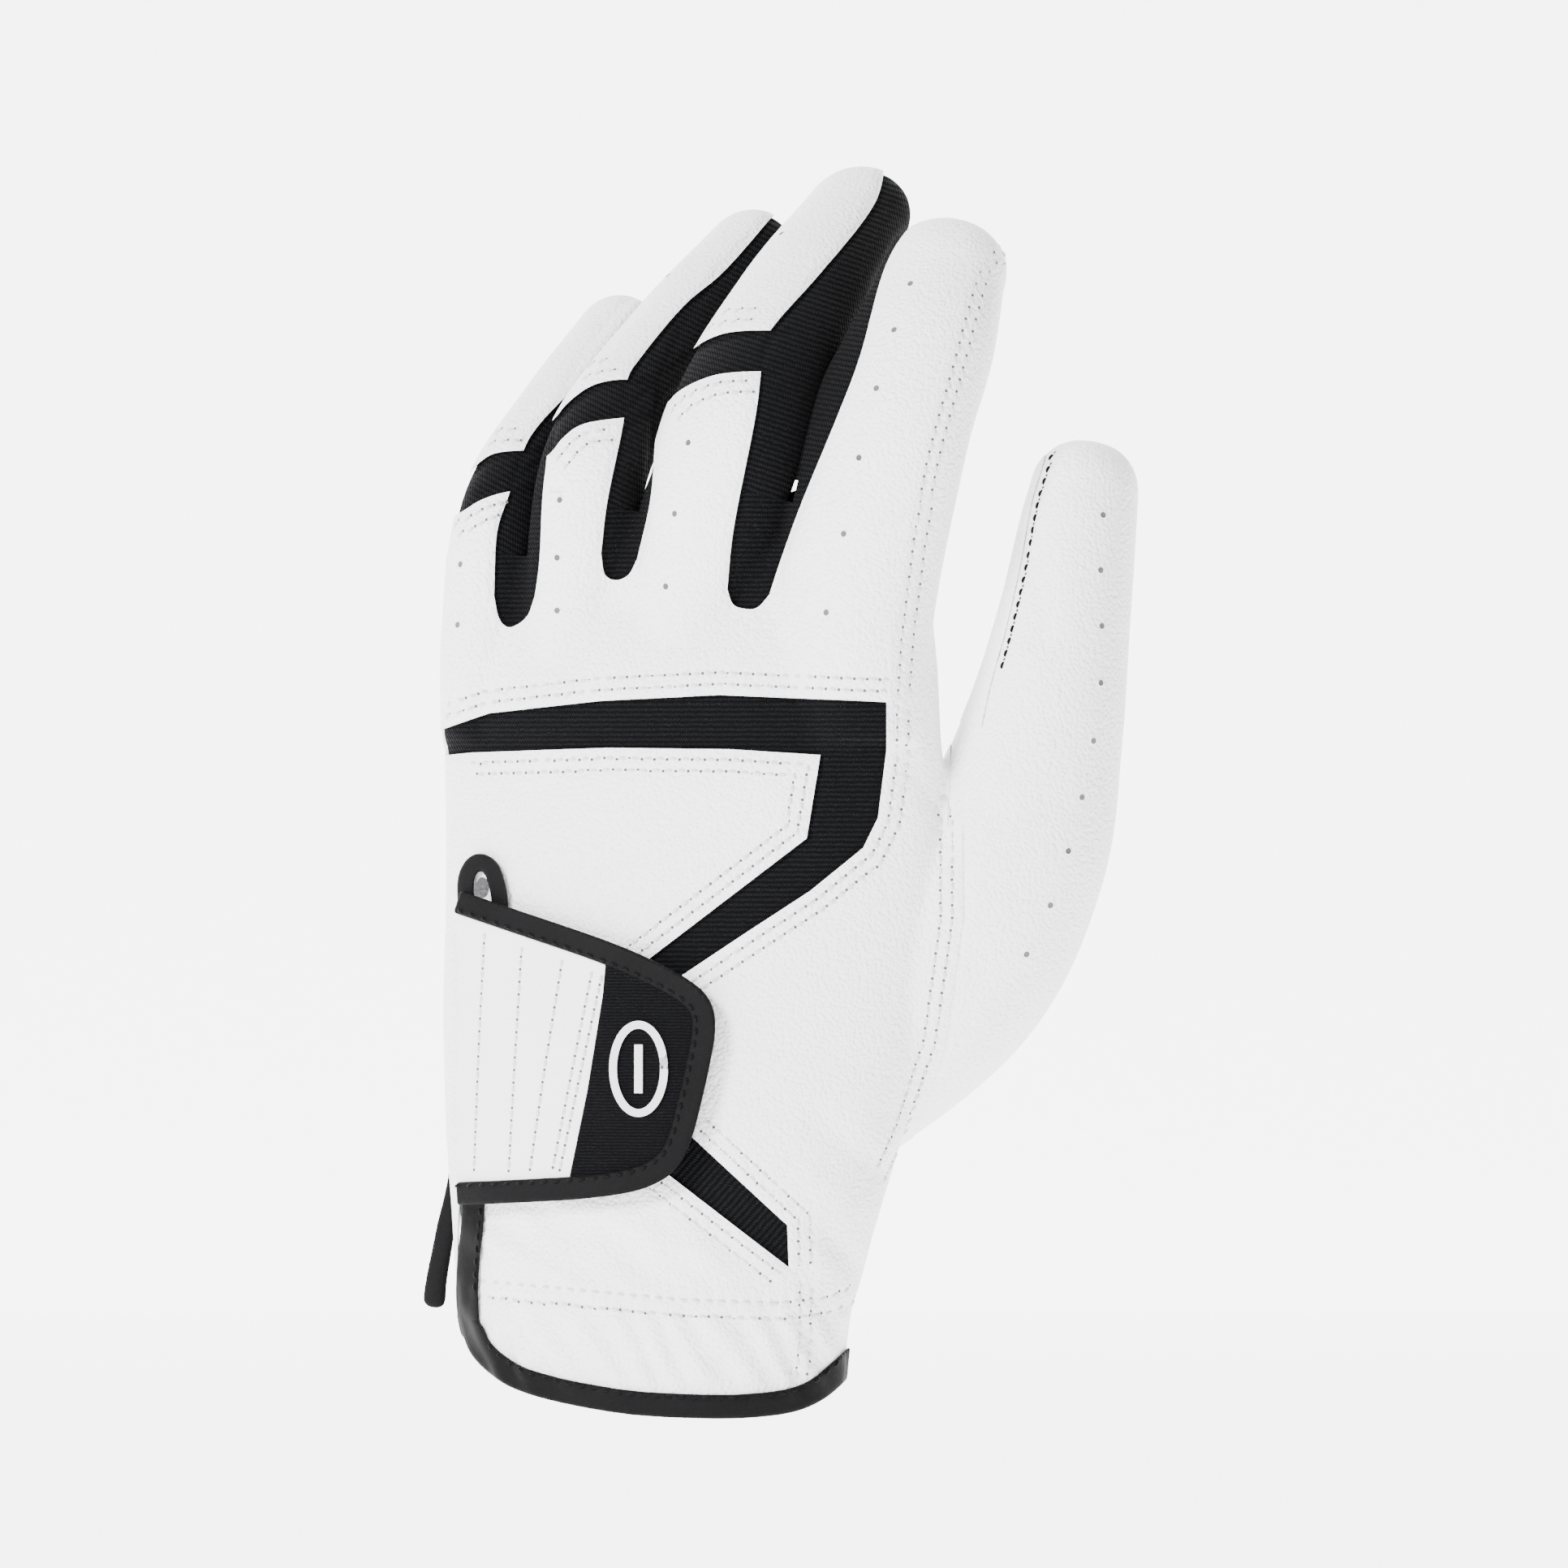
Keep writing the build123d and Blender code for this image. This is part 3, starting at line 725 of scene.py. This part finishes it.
# Vent discs: a dark colour laid in each vent as painted shade, standing in for the shade inside the hole.
vent_hole_shade = textured("vent_lining", grain, (0.02, 0.02, 0.02), (0.16, 0.16, 0.165), 0.9, 0.5, Cell_Size=0.0004)
loop_pile = textured("fastener_pile", grain, (0.45, 0.45, 0.45), (0.7, 0.7, 0.7), 0.9, 0.9, Cell_Size=0.0004)
soft_lining = textured("soft_lining", rib, (0.55, 0.55, 0.55), (0.74, 0.74, 0.73), 0.9, 0.5, Pitch=0.0009)
print("materials:", len(bpy.data.materials))

# %% [markdown]
# ## Skins and the cutting
# A skin is the form grown outwards, less the form grown by less: a wall of even thickness.
# Leather lies outside, knit lies lower so that the leather stands proud at each seam.

# %% Cut helpers
LEATHER_IN = -0.9
WRAP_OUT = 0.22
KNIT_OUT, KNIT_IN = -0.75, -1.5
SHARP = math.radians(50)
slabs = {}
for name in limbs:
    centre, along, k = split_plane(name)
    reach = 1.1 * limb_rings(name)[k, 3:5]
    slabs[name] = (
        slab(name + "_above", centre, along, limb_across[name], reach, 20),
        slab(name + "_below", centre, -along, limb_across[name], reach, 20),
    )
under_cuff = column("under_cuff", smooth_line(cuff_curve) + [(SIDE, 12), (SIDE, -30), (-SIDE, -30), (-SIDE, 24)])
slit_line = [(-38.0, -10), (-36.4, 38.8), (-33.6, 101)]
slit_cut = column("slit_cut", ribbon(slit_line, 1.6), shift=0)
eye_middle = (-32.6, 100.2)
eyelet_line = [(eye_middle[0] + 1.3 * math.cos(a), eye_middle[1] + 2.0 * math.sin(a))
               for a in np.linspace(0, 2 * math.pi, 20, endpoint=False)]
eye_cut = column("eye_cut", eyelet_line, shift=0)


def skin(form_name, name, low, high):
    """A wall between two growths of a form, trimmed at its openings."""
    wall = copy_of(forms[form_name], name, high)
    core = copy_of(forms[form_name], name + "_core", low)
    carve(wall, core, "DIFFERENCE")
    remove(core)
    if form_name == "hand":
        for above, _ in slabs.values():
            carve(wall, above, "DIFFERENCE")
        carve(wall, under_cuff, "DIFFERENCE")
    else:
        carve(wall, slabs[form_name][1], "DIFFERENCE")
    return wall


def part_of(wall, name, keep=(), cut=()):
    """A sewn piece: what a skin has inside these tools and outside those."""
    piece = copy_of(wall, name)
    for tool in keep:
        carve(piece, tool, "INTERSECT")
    for tool in cut:
        carve(piece, tool, "DIFFERENCE")
    return piece


made = []


def finish_piece(piece, material, body, slot, *nodes, bend=None):
    """Gives a piece its material, hides the frame's parts that it stands for and ties it to what it moves with."""
    piece.data.materials.clear()
    piece.data.materials.append(material)
    select_only(piece)
    bpy.ops.object.shade_smooth_by_angle(angle=SHARP)
    if bend:
        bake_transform(piece)
    else:
        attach(piece, body)
    if nodes:
        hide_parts(*nodes)
    made.append(piece.name)
    return piece


# %% Panels of the hand
hand_leather = skin("hand", "hand_leather", LEATHER_IN, 0.0)
hand_wrap = skin("hand", "hand_wrap", LEATHER_IN, WRAP_OUT)
hand_knit = skin("hand", "hand_knit", KNIT_IN, KNIT_OUT)
front_columns = {}
for name, outline in outlines.items():
    through = name.startswith("thumb")
    front_columns[name] = column(name + "_tool", outline, shift=None if through else 0)
for name, (near, far, bottom) in crotches.items():
    edge = [p for p in smooth_line(white_edges[near]) if p[1] < 200][::-1]
    other = [p for p in smooth_line(far_edges[far]) if p[1] < 200]
    outline = edge[:-1] + smooth_line([edge[-1]] + bottom + [other[0]]) + other[1:]
    front_columns[name] = column(name + "_tool", outline, shift=13)
knit_names = ["flex_band", "lower_flex_strip", *crotches]
knit_materials = {"flex_band": level_knit, "lower_flex_strip": strip_knit}
for name in knit_names:
    piece = part_of(hand_knit, name + "_cloth", keep=[front_columns[name]])
    finish_piece(piece, knit_materials.get(name, level_knit), "hand", "black_knit", name)
    for wall in (hand_leather, hand_wrap):
        carve(wall, front_columns[name], "DIFFERENCE")
for wall in (hand_leather, hand_wrap):
    carve(wall, slit_cut, "DIFFERENCE")
    carve(wall, eye_cut, "DIFFERENCE")
order = ["thumb_crotch_gusset", "thumb_panel", "ulnar_wrist_panel", "centre_back_panel",
         "wrist_back_panel", "upper_back_panel"]
for name in order:
    piece = part_of(hand_leather, name + "_leather", keep=[front_columns[name]])
    finish_piece(piece, white_leather, "hand", "white_leather", name)
    carve(hand_leather, front_columns[name], "DIFFERENCE")
    carve(hand_wrap, front_columns[name], "DIFFERENCE")
hand_wrap.name = "palm_panel_leather"
finish_piece(hand_wrap, white_leather, "hand", "white_leather", "palm_panel")
remove(hand_leather, hand_knit)
print("hand pieces:", made)

# %% [markdown]
# ## Finger ends
# Each finger and the thumb carry on past their crease as a piece of their own, so they can
# flex. A knit strip fills each side, white leather covers the back and the palm leather wraps
# the front. Knit bands cross the backs of three knuckles.

# %% Finger ends
AWAY = 150.0
seam_share = 0.5


def right_of(name, line):
    """A column for everything on the thumb side of a line up the glove."""
    low, high = line[0], line[-1]
    return column(name, line + [(AWAY, high[1]), (AWAY, low[1] - 30), (low[0], low[1] - 30)])


def left_of(name, line):
    """A column for everything on the far side of a line up the glove."""
    low, high = line[0], line[-1]
    return column(name, line + [(-AWAY, high[1]), (-AWAY, low[1] - 30), (low[0], low[1] - 30)])


thumb_inner_seam = [(61.5, 126), (64.0, 138), (67.0, 149), (69.8, 161.2), (72.1, 173.6), (75.0, 184),
                    (77, 200)]
end_pieces = {}
for name in limbs:
    leather = skin(name, name + "_leather", LEATHER_IN, 0.0)
    wrap = skin(name, name + "_tip_front_leather", LEATHER_IN, WRAP_OUT)
    body = name + "_end"
    back = limb_block(name, -2, 2, -2.5, seam_share)
    knit_tools = []
    if name in white_edges or name in far_edges:
        knit = skin(name, name + "_knit", KNIT_IN, KNIT_OUT)
        sides = []
        if name in white_edges:
            side = right_of(name + "_radial", smooth_line(white_edges[name]))
            reach = limb_block(name, -0.2, 2.5, -2.5, 1.25 if name == "middle" else 0.95)
            carve(side, reach, "INTERSECT")
            remove(reach)
            sides.append(("radial", side))
        if name in far_edges:
            side = left_of(name + "_ulnar", smooth_line(far_edges[name]))
            reach = limb_block(name, -2.5, 0.6, -2.5, 0.9)
            carve(side, reach, "INTERSECT")
            rest = limb_block(name, -2, -0.1, -0.2, 0.9)
            carve(side, rest, "UNION")
            remove(reach, rest)
            sides.append(("ulnar", side))
        for label, tool in sides:
            piece = part_of(knit, f"{name}_{label}_gusset_cloth", keep=[tool])
            finish_piece(piece, lean_knit[name], body, "black_knit", f"{name}_{label}_gusset")
            knit_tools.append(tool)
        if name in bands:
            low, high = (smooth_line(line) for line in bands[name])
            across_band = column(name + "_band_tool", low + high[::-1])
            carve(across_band, back, "INTERSECT")
            piece = part_of(knit, name + "_knuckle_band_cloth", keep=[across_band], cut=knit_tools)
            finish_piece(piece, lean_knit[name], body, "black_knit", name + "_knuckle_band")
            knit_tools.append(across_band)
        remove(knit)
    for tool in knit_tools:
        carve(leather, tool, "DIFFERENCE")
        carve(wrap, tool, "DIFFERENCE")
    if name == "index":
        line = smooth_line(wrap_seam)
        ends = [(AWAY, 226), (AWAY, 300), (-AWAY, 300), (-AWAY, line[0][1])]
        beyond = column(name + "_beyond", line + ends)
        carve(back, beyond, "INTERSECT")
        remove(beyond)
    if name == "thumb":
        beyond = right_of(name + "_beyond", smooth_line(thumb_inner_seam))
        carve(back, beyond, "INTERSECT")
        remove(beyond)
    carve(leather, back, "INTERSECT")
    carve(wrap, back, "DIFFERENCE")
    leather.name = name + "_tip_back_leather"
    finish_piece(leather, white_leather, body, "white_leather", name + "_tip_back")
    finish_piece(wrap, white_leather, body, "white_leather", name + "_tip_front")
    remove(back, *knit_tools)
print("pieces so far:", len(made))

# %% [markdown]
# ## Binding
# Smooth black tape is folded over every raw edge: round the cuff, up the slit, round the tab
# and round the flap beside the slit. Each tape is the band of skin under its path, thickened,
# then softened by a fine voxel remesh so that its edges roll.

# %% Bindings
BIND_OUT, BIND_IN = 0.95, -1.6
hem_path = [(-52, 24), (-42, 16.4), (-35.6, 16.6), (-33, 12.4), (-29.8, 9.4), (-24.8, 6.7), (-16, 4.5),
            (-4, 2.7), (8, 2.1), (17, 2.1), (25.8, 3.0), (31.5, 5.2), (37, 9.5), (44, 14.5), (58, 20)]
slit_path = [(-34.2, 88), (-34.5, 60), (-34.3, 39.7), (-35.2, 30), (-35.6, 22.7), (-35.3, 17)]
BIND_WIDTH = 4.6


def soften(piece, voxel=0.5, smooth=3):
    """Rounds a piece's edges: voxel remesh, then smoothing."""
    apply_modifier(piece, "REMESH", mode="VOXEL", voxel_size=voxel * MM)
    apply_modifier(piece, "SMOOTH", factor=0.6, iterations=smooth)
    return piece


def skin_band(name, tools, low, high, cut=()):
    """Part of a wall between two growths of the hand, inside these tools."""
    wall = copy_of(forms["hand"], name, high)
    for tool in tools:
        carve(wall, tool, "INTERSECT")
    core = copy_of(forms["hand"], name + "_core", low)
    carve(wall, core, "DIFFERENCE")
    remove(core)
    for tool in cut:
        carve(wall, tool, "DIFFERENCE")
    return wall


hem_tool = column("hem_tool", ribbon(smooth_line(hem_path), BIND_WIDTH))
hem = skin_band("cuff_binding_tape", [hem_tool], BIND_IN, BIND_OUT)
finish_piece(soften(hem), binding_tape, "hand", "black_binding", "cuff_binding")
slit_tool = column("slit_tool", ribbon(smooth_line(slit_path), 4.4), shift=0)
eye_path = [(-35.4, 92), (-35.9, 98), (-35.7, 102.4), (-33.8, 105.0), (-31.2, 104.2), (-29.7, 100.4),
            (-29.2, 96.5), (-29.4, 92)]
eye_tool = column("eye_tool", ribbon(smooth_line(eye_path), 3.2), shift=0)
slit_tape = skin_band("slit_binding_tape", [slit_tool], BIND_IN, BIND_OUT)
finish_piece(soften(slit_tape), binding_tape, "hand", "black_binding", "slit_binding")
eye_tape = skin_band("keyhole_binding_tape", [eye_tool], BIND_IN, 1.6)
finish_piece(soften(eye_tape), binding_tape, "hand", "black_binding")


flap_path = [(-37.6, 50), (-38.6, 42), (-39.8, 35.5), (-40.9, 29.5), (-41.8, 24.5), (-42.2, 21)]
flap_points = [(x, middle_depth(x) - 1.5 + 0.08 * (50 - z), z) for x, z in flap_path]
flap_rings = flowing([(*q, 0, 0) for q in flap_points], 30)[:, :3]
flap_widths = np.interp(np.arange(30), [0, 12, 29], [1.0, 1.9, 2.3])
flap = tube("ulnar_flap_binding_tape", flap_rings, (0.94, -0.34, 0), flap_widths, [1.1] * 30)
finish_piece(soften(flap, 0.4, 2), binding_tape, "hand", "black_binding", "ulnar_flap_binding")

# %% [markdown]
# ## The wrist tab
# A leather tab closes the wrist. It lies over the hook and loop patches, bound all round, with
# a woven label sewn over its thumb side. It peels open from the slit side, so its pieces move
# with the tab.

# %% Tab
tab_outline = [(-37.5, 97.5), (-28, 94.4), (-10, 88.4), (0, 84.2), (6.4, 80.6), (9.2, 77.6), (9.8, 73.5),
               (9.0, 68.2), (7.3, 60.5), (5.4, 53.4), (3.2, 48.9), (-0.4, 46.2), (-5.4, 44.6), (-14, 43.4),
               (-25, 42.6), (-37.5, 41.8)]
tab_left = -36.6
label_line = [(-8.0, 96), (-9.4, 80), (-12.3, 62), (-16.0, 44), (-17.5, 36)]
loop_outline = [(-27, 48), (0, 52), (4, 76), (-27, 88)]
hook_outline = [(-20, 50), (-2, 53), (2, 74), (-20, 84)]
tab_tool = column("tab_tool", tab_outline, shift=0)
label_tool = column("label_tool", label_line + [(30, 36), (30, 96)], shift=0)
trim_path = tab_outline
trim_tool = column("trim_tool", ribbon(smooth_line(trim_path), 4.4), shift=0)
closing = [("loop_patch_pile", loop_outline, 0.05, 0.8, "hand", "loop_patch"),
           ("hook_patch_hooks", hook_outline, 1.1, 1.9, "tab", "hook_patch")]
for name, outline, low, high, body, cad in closing:
    tool = column(name + "_tool", outline, shift=0)
    piece = skin_band(name, [tool], low, high)
    finish_piece(piece, loop_pile, body, "fastener", cad)
    remove(tool)
tab_form = copy_of(forms["hand"], "tab_form")
apply_modifier(tab_form, "SMOOTH", factor=0.6, iterations=60)
forms["hand"], hand_form = tab_form, forms["hand"]
tab_leather_piece = skin_band("closure_tab_leather", [tab_tool], 1.9, 3.0)
finish_piece(tab_leather_piece, tab_leather, "tab", "white_leather", "closure_tab")
label = skin_band("tab_label_cloth", [tab_tool, label_tool], 3.0, 3.4)
finish_piece(label, woven_black, "tab", "woven_patch", "tab_label_patch")
trim = skin_band("tab_binding_tape", [trim_tool], 1.6, 4.0)
finish_piece(soften(trim, 0.45, 3), binding_tape, "tab", "black_binding", "tab_binding")
badge_middle = np.array((-2.6, 66.0))


def lozenge(size):
    """A plain pointed oval, standing for the embroidered badge."""
    angle = np.linspace(0, 2 * math.pi, 48, endpoint=False)
    return [(badge_middle[0] + 0.36 * size * math.cos(a), badge_middle[1] + size * math.sin(a) * 0.62)
            for a in angle]


badge_tool = column("badge_tool", ribbon(lozenge(13.5) + lozenge(13.5)[:3], 1.5), shift=0)
badge = skin_band("tab_badge_embroidery", [badge_tool], 3.3, 3.9)
finish_piece(badge, white_thread, "tab", "woven_patch")
bar_tool = column("bar_tool", ribbon([(-2.6, 61.4), (-2.6, 66), (-2.6, 70.6)], 1.6), shift=0)
bar = skin_band("tab_badge_bar", [bar_tool], 3.3, 3.9)
finish_piece(bar, white_thread, "tab", "woven_patch")
forms["hand"] = hand_form
lining_tools = [
    ("wrist_elastic_band", [(-31, 18), (24, 14), (24, 24), (-31, 27)], "lining", "wrist_elastic"),
    ("inner_label_tape", [(-12, 52), (12, 52), (12, 68), (-12, 68)], "lining", "inner_label"),
]
for name, outline, slot, cad in lining_tools:
    tool = column(name + "_tool", outline, shift=0)
    piece = skin_band(name, [tool], -1.6, -0.95)
    finish_piece(piece, soft_lining, "hand", slot, cad)
    remove(tool)
remove(tab_tool, label_tool, trim_tool, badge_tool, bar_tool, hem_tool, slit_tool, eye_tool)
print("pieces so far:", len(made))

# %% [markdown]
# ## Stitches and vent holes
# A ray from the front finds where each stitch meets the surface. A stitch is a short capsule
# that sinks at both ends, with a small dark disc of painted shade for the needle hole at each end.
# The rows are double beside every seam. Vent holes are dark discs of painted shade for the
# holes, each inside a raised leather rim.

# %% Stitches
PITCH = 2.4
surface_names = [n for n in made]


def surface_tree(names):
    """One search tree over several pieces."""
    points, faces = [], []
    for name in names:
        mesh = bpy.data.objects[name].data
        base = len(points)
        points += [tuple(v.co) for v in mesh.vertices]
        faces += [tuple(base + i for i in p.vertices) for p in mesh.polygons]
    return BVHTree.FromPolygons(points, faces)


def drop_points(tree, line, pitch, phase=0.5):
    """Even steps along a line, dropped on the surface from the front."""
    p = np.array(line)
    length = np.concatenate([[0], np.cumsum(np.linalg.norm(np.diff(p, axis=0), axis=1))])
    out = []
    for s in np.arange(phase * pitch, length[-1], pitch):
        x, z = (np.interp(s, length, p[:, k]) for k in (0, 1))
        ahead = [np.interp(min(s + 0.2, length[-1]), length, p[:, k]) for k in (0, 1)]
        behind = [np.interp(max(s - 0.2, 0), length, p[:, k]) for k in (0, 1)]
        hit = tree.ray_cast(Vector((x * MM, -0.3, z * MM)), Vector((0, 1, 0)))
        if hit[0] is None or hit[1].y > -0.18:
            continue
        way = Vector((ahead[0] - behind[0], 0, ahead[1] - behind[1]))
        way -= hit[1] * way.dot(hit[1])
        out.append((hit[0], hit[1].normalized(), way.normalized()))
    return out


def capsule_rings(place, normal, way, length, width, height, sink):
    """A stitch: a bowed capsule whose ends dive into the leather."""
    side = normal.cross(way)
    rings = []
    for t in np.linspace(-1, 1, 7):
        bow = (1 - t * t) * height - abs(t) ** 3 * sink
        girth = max(0.25, 1 - abs(t) ** 4) * width / 2
        centre = place + way * (t * length / 2) + normal * bow
        rings.append([centre + side * (math.cos(a) * girth) + normal * (math.sin(a) * girth * 0.8)
                      for a in np.linspace(0, 2 * math.pi, 8, endpoint=False)])
    return rings


def stitch_row_object(name, drops, material, body, slot, length=1.75, width=0.62, height=0.16):
    """All the stitches of some rows, in one object."""
    points, faces = [], []
    for place, normal, way in drops:
        rings = capsule_rings(place, normal, way, length * MM, width * MM, height * MM, 0.25 * MM)
        base = len(points)
        for ring in rings:
            points += [tuple(q) for q in ring]
        for r in range(6):
            for k in range(8):
                m = (k + 1) % 8
                faces.append((base + 8 * r + k, base + 8 * r + m, base + 8 * r + 8 + m, base + 8 * r + 8 + k))
        faces.append(tuple(base + k for k in range(8))[::-1])
        faces.append(tuple(base + 48 + k for k in range(8)))
    return finish_piece(mesh_piece(name, points, faces), material, body, slot)


def disc_object(name, drops, radius, rise, material, body, slot, stretch=1.0, dome=0.0):
    """Small discs on the surface, in one object."""
    points, faces = [], []
    for place, normal, way in drops:
        side = normal.cross(way)
        base = len(points)
        points.append(tuple(place + normal * (rise - dome) * MM))
        for share in (0.6, 1.0):
            for a in np.linspace(0, 2 * math.pi, 14, endpoint=False):
                q = place + (way * math.cos(a) * stretch + side * math.sin(a)) * radius * share * MM
                points.append(tuple(q + normal * (rise - (dome if share < 1 else 0)) * MM))
        for k in range(14):
            m = (k + 1) % 14
            faces.append((base, base + 1 + k, base + 1 + m))
            faces.append((base + 1 + k, base + 15 + k, base + 15 + m, base + 1 + m))
    return finish_piece(mesh_piece(name, points, faces), material, body, slot)


def rim_object(name, drops, radius, thick, material, body, slot):
    """Small raised rings on the surface, in one object."""
    points, faces = [], []
    for place, normal, way in drops:
        side = normal.cross(way)
        base = len(points)
        for a in np.linspace(0, 2 * math.pi, 16, endpoint=False):
            out = way * math.cos(a) + side * math.sin(a)
            for b in np.linspace(0, 2 * math.pi, 6, endpoint=False):
                q = place + out * (radius + thick * math.cos(b)) * MM
                points.append(tuple(q + normal * (thick * 0.5 * math.sin(b)) * MM))
        for k in range(16):
            m = (k + 1) % 16
            for b in range(6):
                c = (b + 1) % 6
                faces.append((base + 6 * k + b, base + 6 * m + b, base + 6 * m + c, base + 6 * k + c))
    return finish_piece(mesh_piece(name, points, faces), material, body, slot)


hand_names = [n for n in made if not n.startswith(("tab_", "closure", "hook")) and "_tip_" not in n]
hand_tree = surface_tree([n for n in hand_names if n.split("_")[0] not in limbs or "ring_middle" in n
                          or "pinky_ring" in n or "middle_index" in n or n.startswith("thumb_")])
panel_drops, panel_holes = [], []
for name, line in stitch_rows.items():
    drops = drop_points(hand_tree, line, PITCH, 0.5 if name.endswith("0") else 1.0)
    panel_drops += drops
    panel_holes += [(p + w * PITCH / 2 * MM, n, w) for p, n, w in drops]
hidden = tab_outline


def inside(point, outline):
    """Whether a place (across, up, in mm) lies inside an outline."""
    x, z = point
    odd = False
    for (x1, z1), (x2, z2) in zip(outline, outline[1:] + outline[:1]):
        if (z1 > z) != (z2 > z) and x < (x2 - x1) * (z - z1) / (z2 - z1) + x1:
            odd = not odd
    return odd


panel_drops = [d for d in panel_drops if not inside((d[0].x / MM, d[0].z / MM), hidden)]
panel_holes = [d for d in panel_holes if not inside((d[0].x / MM, d[0].z / MM), hidden)]
stitch_row_object("panel_stitches", panel_drops, white_thread, "hand", "white_leather")
# Painted shade: a dark disc at each needle hole.
disc_object("panel_needle_holes", panel_holes, 0.3, 0.03, needle_hole_shade, "hand", "white_leather")
tape_lines = [offset_line(smooth_line(hem_path[3:-2]), 1.6),
              offset_line(smooth_line([p for p in slit_path if 19 < p[1] < 41]), 1.5)]
tape_drops = []
for line in tape_lines:
    tape_drops += drop_points(hand_tree, line, PITCH)
stitch_row_object("hem_tape_stitches", tape_drops, black_thread, "hand", "black_binding", 1.8, 0.6, 0.2)
tab_tree = surface_tree(["closure_tab_leather", "tab_label_cloth"])
tab_rows = [[(-32.1, 92.0), (-33.2, 70), (-34.1, 46.0)], [(-24.9, 89.5), (-26.2, 68), (-27.4, 46.0)],
            [(-17.1, 87.0), (-20.5, 66), (-23.4, 46.0)], [(-11.4, 84.8), (-15.4, 65), (-19.1, 46.2)],
            [(-9.5, 84.2), (-13.7, 65), (-17.7, 46.2)]]
tab_drops = []
for row in tab_rows:
    tab_drops += drop_points(tab_tree, row, PITCH)
stitch_row_object("tab_stitches", tab_drops, white_thread, "tab", "white_leather")
tab_holes = [(p + w * PITCH / 2 * MM, n, w) for p, n, w in tab_drops]
disc_object("tab_needle_holes", tab_holes, 0.3, 0.03, needle_hole_shade, "tab", "white_leather")
trim_tree = surface_tree(["tab_binding_tape"])
inner_trim = corner_line(smooth_line(tab_outline), -1.5)
trim_drops = drop_points(trim_tree, inner_trim, PITCH)
stitch_row_object("tab_tape_stitches", trim_drops, black_thread, "tab", "black_binding", 1.8, 0.6, 0.2)
print("stitches:", len(panel_drops) + len(tape_drops) + len(tab_drops) + len(trim_drops))

# %% Stitches and vents on the digits
vents = {
    "index": [(49, 215.1), (45.9, 206.2), (42.5, 195), (39.2, 181.8), (36.3, 167.4), (33, 152.5)],
    "middle": [(24.5, 225.7), (18.6, 220.1), (14, 213.4), (6.8, 184.9), (4.2, 171.4), (2.5, 157.6)],
    "ring": [(2.6, 218.1), (-4, 211.7), (-10.4, 204), (-17.8, 174.2), (-18.3, 163.2), (-18.3, 153.1)],
    "pinky": [(-37, 162.1), (-37.5, 150.5)],
    "thumb": [(85.6, 171.1), (85.1, 160.6), (85.3, 150), (85.1, 139.2), (83.7, 128.2), (81.5, 117.5),
              (78.9, 107.3), (75.5, 97), (71, 87.7)],
}
seam_limits = {"pinky": (-40, -27.2), "ring": (-20.4, -8.6), "middle": (1.0, 18.2)}
for name in limbs:
    body = name + "_end"
    end_tree = surface_tree([name + "_tip_back_leather", name + "_tip_front_leather"])
    rows = []
    if name in bands:
        low, high = (smooth_line(line) for line in bands[name])
        low = [p for p in low if p[0] > seam_limits[name][0] and p[0] < seam_limits[name][1]]
        high = [p for p in high if p[0] > seam_limits[name][0] and p[0] < seam_limits[name][1] + 1]
        for d in (1.9, 4.0):
            rows += [offset_line(low, -d), offset_line(high, d)]
    if name == "index":
        rows += [offset_line(smooth_line(wrap_seam), -d) for d in (1.9, 3.9)]
    if name == "thumb":
        rows += [[p for p in offset_line(smooth_line(thumb_inner_seam), -1.2) if p[1] > 140]]
    drops = []
    for row in rows:
        drops += drop_points(end_tree, row, PITCH)
    thread = black_thread if name == "thumb" else white_thread
    stitch_row_object(name + "_stitches", drops, thread, body, "white_leather")
    holes = [(p + w * PITCH / 2 * MM, n, w) for p, n, w in drops]
    disc_object(name + "_needle_holes", holes, 0.3, 0.03, needle_hole_shade, body, "white_leather")
    for tree, part, owner in ((end_tree, "end", body), (hand_tree, "root", "hand")):
        punched = []
        for x, z in vents[name]:
            hit = tree.ray_cast(Vector((x * MM, -0.3, z * MM)), Vector((0, 1, 0)))
            other = end_tree.ray_cast(Vector((x * MM, -0.3, z * MM)), Vector((0, 1, 0)))
            if hit[0] is None or (part == "root" and other[0] is not None):
                continue
            normal = hit[1].normalized()
            way = Vector((0, 0, 1)) - normal * normal.z
            punched.append((hit[0], normal, way.normalized()))
        if punched:
            label = f"{name}_{part}_vent"
            # Painted shade: a dark disc in each vent hole, inside a white leather rim.
            disc_object(label + "_mesh", punched, 0.62, 0.05, vent_hole_shade, owner, "white_leather", dome=0.02)
            rim_object(label + "_rims", punched, 0.68, 0.14, white_leather, owner, "white_leather")
print("objects made:", len(made))

# %% [markdown]
# ## Finish
# The forms and cutting tools have done their work, so they are removed.

# %% Clear the tools and finish
for tool in list(front_columns.values()) + list(forms.values()) + [tab_form, under_cuff, slit_cut, eye_cut]:
    remove(tool)
for above, below in slabs.values():
    remove(above, below)
